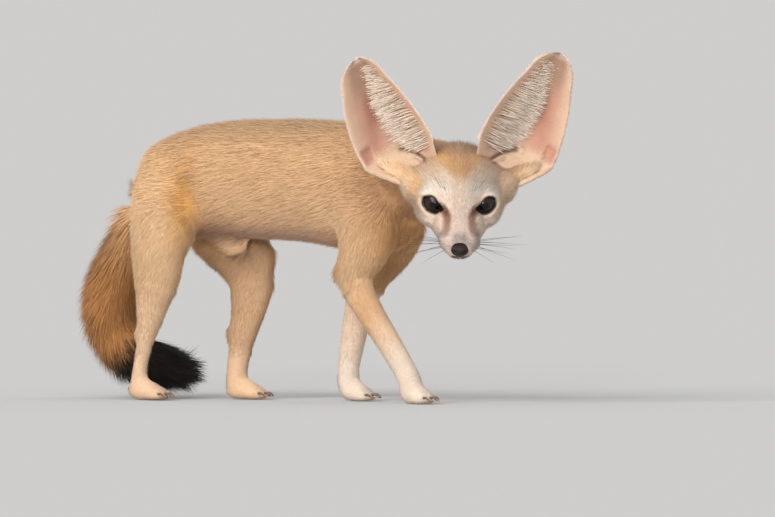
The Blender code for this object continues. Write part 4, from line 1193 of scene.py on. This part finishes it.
def build_ear_hair(data):
    """White hair in long fine strands across the cup, down inside it, and short fur on its back and rim."""
    along, across, back = data.place.T
    wide = np.abs(across)
    for side, sign in SIDES:
        up, out, face = (np.array(mirrored(tuple(v), sign)) @ HEAD_TURN.T for v in ear_frame(sign))
        way = SimpleNamespace(up=up, out=out, face=face)
        ear = data.sign == sign
        front = ear * (back < 0.5)
        strand = front * (across < 0.1) * (across > -0.88) * (along < 0.9)
        strand = strand * smooth(0, 0.04, along - 0.13 - 0.22 * np.clip(across + 0.4, -0.2, 1))
        strand = strand * (0.25 + bump_at(across, -0.32, 0.5)) * (1 - 0.6 * smooth(0.6, 0.88, along))
        down = front * (along < 0.97) * (along > -0.05)
        behind = ear * (back > 0.5) * (wide < 0.95 - 0.08 * smooth(0.5, 0.8, along)) * (along < 0.94)
        rim = front * np.maximum(smooth(0.9, 0.98, wide), smooth(0.94, 0.98, along))
        rim = rim * ((along > 0.1) | (across > 0))
        name = f"ear_{side}"
        ear_tufts(
            f"{name}_strands", "ear_skin", strand_hair, data, strand, 2300, way, 21, 4, facing=(1, 2, 0)
        )
        ear_tufts(f"{name}_down", "ear_skin", down_hair, data, down, 11000, way, 20)
        ear_tufts(f"{name}_back", "sand_coat", back_hair, data, behind, 8000, way, 19)
        ear_tufts(
            f"{name}_rim", "ear_skin", rim_hair, data, rim, 3500, way, 22, soft=0.9, facing=(0.5, 0.4, 1.2)
        )


CORNEA = (3.6, 6)  # how far its centre lies ahead of the eye's, and its radius


def cornea_rise(angles):
    """How far the cornea stands out from the eye's sphere at each angle off the gaze."""
    ahead, radius = CORNEA
    under = np.clip(radius**2 - (ahead * np.sin(angles)) ** 2, 0, None)
    reach = ahead * np.cos(angles) + np.sqrt(under)
    return np.where(angles < np.pi / 2, np.maximum(reach - EYE_RADIUS, 0), 0)


def dress(obj, material):
    obj.data.shade_smooth()
    obj.data.materials.append(material)


def build_eyes():
    """Two glossy eyes, each with a dark iris, a pupil that looks ahead and a dark rim of lid skin."""
    gloss = eye_material()
    rim_material = horn_material("lid_skin", (0.01, 0.007, 0.006), (0.026, 0.017, 0.015), 0.45)
    made = []
    for side, sign in SIDES:
        place = EYES[sign]
        bm = bmesh.new()
        bmesh.ops.create_uvsphere(bm, u_segments=64, v_segments=40, radius=EYE_RADIUS)
        bmesh.ops.transform(bm, matrix=rotation(90, "Y"), verts=bm.verts)
        bmesh.ops.transform(bm, matrix=place, verts=bm.verts)
        eye = object_from(bm, f"eyeball_{side}")
        gaze = (place.to_3x3() @ rotation(-9 * sign, "Z", 3) @ Vector((1, 0, 0.08))).normalized()
        points = applied(TO_SCENE.inverted(), mesh_points(eye.data))
        rays = unit(points - np.array(place.translation))
        off = np.degrees(np.arccos(np.clip(rays @ np.array(gaze), -1, 1)))
        set_points(eye.data, applied(TO_SCENE, points + rays * cornea_rise(np.radians(off))[:, None]))
        pupil = (smooth(27, 19, off), (0.003, 0.003, 0.003))
        border = (smooth(34, 48, off), (0.006, 0.004, 0.004))
        set_colours(eye.data, painted((0.034, 0.014, 0.007), len(points), (pupil, border)))
        dress(eye, gloss)
        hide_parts(f"eye_{side}")
        edge = eye_edges(sign, EYE_RADIUS + 0.1, 8)
        bm = bmesh.new()
        ring = edge + edge[:2]
        tube(bm, ring, [0.42] * len(ring), side=place.to_3x3() @ Vector((1, 0, 0)), sides=10)
        rim = object_from(bm, f"lid_rim_{side}")
        dress(rim, rim_material)
        made += [eye, rim]
    return made


def build_nose():
    """The nose's leather, from the solid's own shape, finely rounded."""
    bm = bmesh.new()
    bm.from_mesh(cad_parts["nose_pad"].data)
    bmesh.ops.remove_doubles(bm, verts=bm.verts, dist=1e-6)
    nose = object_from(bm, "nose", scale=False)
    remesh = nose.modifiers.new("fuse", "REMESH")
    remesh.mode = "VOXEL"
    remesh.voxel_size = 0.00028
    relax = nose.modifiers.new("relax", "SMOOTH")
    relax.iterations = 5
    bake(nose)
    dress(nose, leather_material())
    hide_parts("nose_pad")
    return [nose]


CLAW = ((0, 0, 0.85), (2.2, 0.3, 0.8), (4, -0.6, 0.5), (5.4, -2.4, 0.08))  # ahead, up, radius


def build_claws():
    """Small dark curved claws, one on each toe."""
    horn = horn_material("claw_horn", (0.1, 0.065, 0.045), (0.24, 0.17, 0.12), 0.45)
    made = []
    for name, (x, y, turn, reach) in PAWS.items():
        bm = bmesh.new()
        place = Matrix.Translation((x, y, 0)) @ rotation(turn, "Z")
        for across, step in zip(TOE_SPREAD, TOE_STEP):
            start = Vector((reach + step + TOE_REACH - 1.6, across, 4.6))
            line = [place @ (start + Vector((ahead, 0, up))) for ahead, up, _ in CLAW]
            tube(bm, line, [radius for _, _, radius in CLAW], sides=8)
        claws = object_from(bm, f"claws_{name}")
        dress(claws, horn)
        made.append(claws)
    return made


WHISKERS = (  # along the muzzle, half width, height, length, out, up
    (29, 9.5, -13.5, 27, 0.9, 0.1),
    (28, 10.5, -15.5, 33, 0.95, 0.02),
    (26.5, 11.2, -14, 36, 1, 0.16),
    (25.5, 12, -16.5, 38, 1, -0.04),
    (24, 12, -14.5, 36, 1, 0.24),
    (27, 10.8, -18, 30, 0.95, -0.2),
    (24.5, 12, -18.5, 32, 1, -0.32),
    (30.5, 8.6, -16.5, 22, 0.85, -0.12),
    (22.5, 12.2, -16.8, 34, 1, 0.06),
    (29.5, 9, -19, 22, 0.8, -0.45),
)
BROW_HAIRS = (
    (-1, 12, 14, 13, 0.35, 0.9),
    (-2, 14, 14.5, 15, 0.5, 0.85),
    (0, 10.5, 13, 11, 0.2, 0.95),
)


def build_whiskers():
    """Fine dark whiskers from the pads, sweeping out and a little back."""
    strand = horn_material("whisker", (0.03, 0.02, 0.017), (0.08, 0.055, 0.045), 0.5)
    bm = bmesh.new()
    for sign in (1, -1):
        for f, s, u, length, out, up in (*WHISKERS, *BROW_HAIRS):
            way = Vector((0.05, out * sign, up)).normalized()
            droop = Vector((-0.3, 0, -RANDOM.uniform(0.08, 0.3)))
            start = Vector((f, s * sign, u)) - way * 1.5
            size = length * RANDOM.uniform(0.85, 1.05)
            line = [HEAD @ (start + way * (size * t) + droop * (size * t * t)) for t in np.linspace(0, 1, 9)]
            radii = [0.13 * (1 - t) + 0.03 for t in np.linspace(0, 1, 9)]
            tube(bm, line, radii, side=(0, 0, 1), sides=4)
    whiskers = object_from(bm, "whiskers")
    dress(whiskers, strand)
    return [whiskers]


# Stage

AZIMUTH = 28
ELEVATION = 1
DISTANCE = 10
PIXEL = 0.7  # millimetres at the body
CENTRE = (387.5, 258.5)  # the picture's middle
ORIGIN = (284.4, 401)  # where the origin of the animal's frame falls in the picture


def aimed(name, data, place, way):
    """A camera or a lamp at a place, looking one way."""
    obj = placed(name, data)
    obj.location = place
    obj.rotation_mode = "QUATERNION"
    obj.rotation_quaternion = way.to_track_quat("-Z", "Y")
    return obj


def build_camera():
    a, e = math.radians(AZIMUTH), math.radians(ELEVATION)
    right = Vector((math.cos(a), math.sin(a), 0))
    back = Vector((math.sin(a) * math.cos(e), -math.cos(a) * math.cos(e), math.sin(e)))
    up = back.cross(right)
    aim = TO_SCENE @ (right * ((CENTRE[0] - ORIGIN[0]) * PIXEL) + up * ((ORIGIN[1] - CENTRE[1]) * PIXEL))
    data = bpy.data.cameras.new("camera")
    data.sensor_width = 36
    data.lens = 36 * DISTANCE / (775 * PIXEL * MM)
    data.clip_end = 200
    bpy.context.scene.camera = aimed("camera", data, aim + back * DISTANCE, -back)


LAMPS = (  # name, where it shines from, strength, how wide it is in degrees, colour
    ("key", (-0.3, -1.6, 1.1), 1.8, 35, (1, 0.95, 0.88)),
    ("panel", (1.36, -2.96, 1.8), 0.8, 46, (0.6, 0.78, 1)),
    ("window", (1.17, -2.89, 0.69), 0.6, 8.5, (1, 0.98, 0.95)),
)
SKY = (1, 0.989, 0.976)
SKY_STRENGTH = 0.62


def floor_shade():
    """The floor's colour at which, under these lamps, it looks as bright as the sky behind it."""
    shade = []
    for k in range(3):
        sky = SKY[k] * SKY_STRENGTH
        light = sum(lamp[2] * lamp[4][k] * Vector(lamp[1]).normalized().z / math.pi for lamp in LAMPS)
        shade.append(sky / (sky + light))
    return shade


def build_stage():
    bm = bmesh.new()
    bmesh.ops.create_grid(bm, x_segments=1, y_segments=1, size=60)
    floor = object_from(bm, "floor", scale=False)
    look = {"Base Color": (*floor_shade(), 1), "Roughness": 1, "Specular IOR Level": 0}
    floor.data.materials.append(new_material("floor", look))
    world = bpy.context.scene.world or bpy.data.worlds.new("world")
    bpy.context.scene.world = world
    world.use_nodes = True
    sky = world.node_tree.nodes["Background"]
    sky.inputs["Color"].default_value = (*SKY, 1)
    sky.inputs["Strength"].default_value = SKY_STRENGTH
    for name, place, strength, angle, colour in LAMPS:
        data = bpy.data.lights.new(name, "SUN")
        data.energy = strength
        data.angle = math.radians(angle)
        data.color = colour
        aimed(name, data, place, -Vector(place))
    bpy.context.scene.view_settings.view_transform = "Standard"


def build():
    skin, data = build_skin()
    fur_material("fur", 0.82, 0.12, 220, 0.06)
    build_coat(data)
    build_ear_hair(data)
    set_points(skin.data, applied(TO_SCENE, mesh_points(skin.data)))
    skin.data.materials.append(skin_material())
    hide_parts(*FLESH, "ear_left", "ear_right", "tail", "tail_tip")
    pieces = [skin, *build_eyes(), *build_nose(), *build_claws(), *build_whiskers()]
    for coat, slot in COAT:
        pieces.append(coat)
    for piece in pieces:
        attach(piece, "root")
    build_stage()
    build_camera()


build()
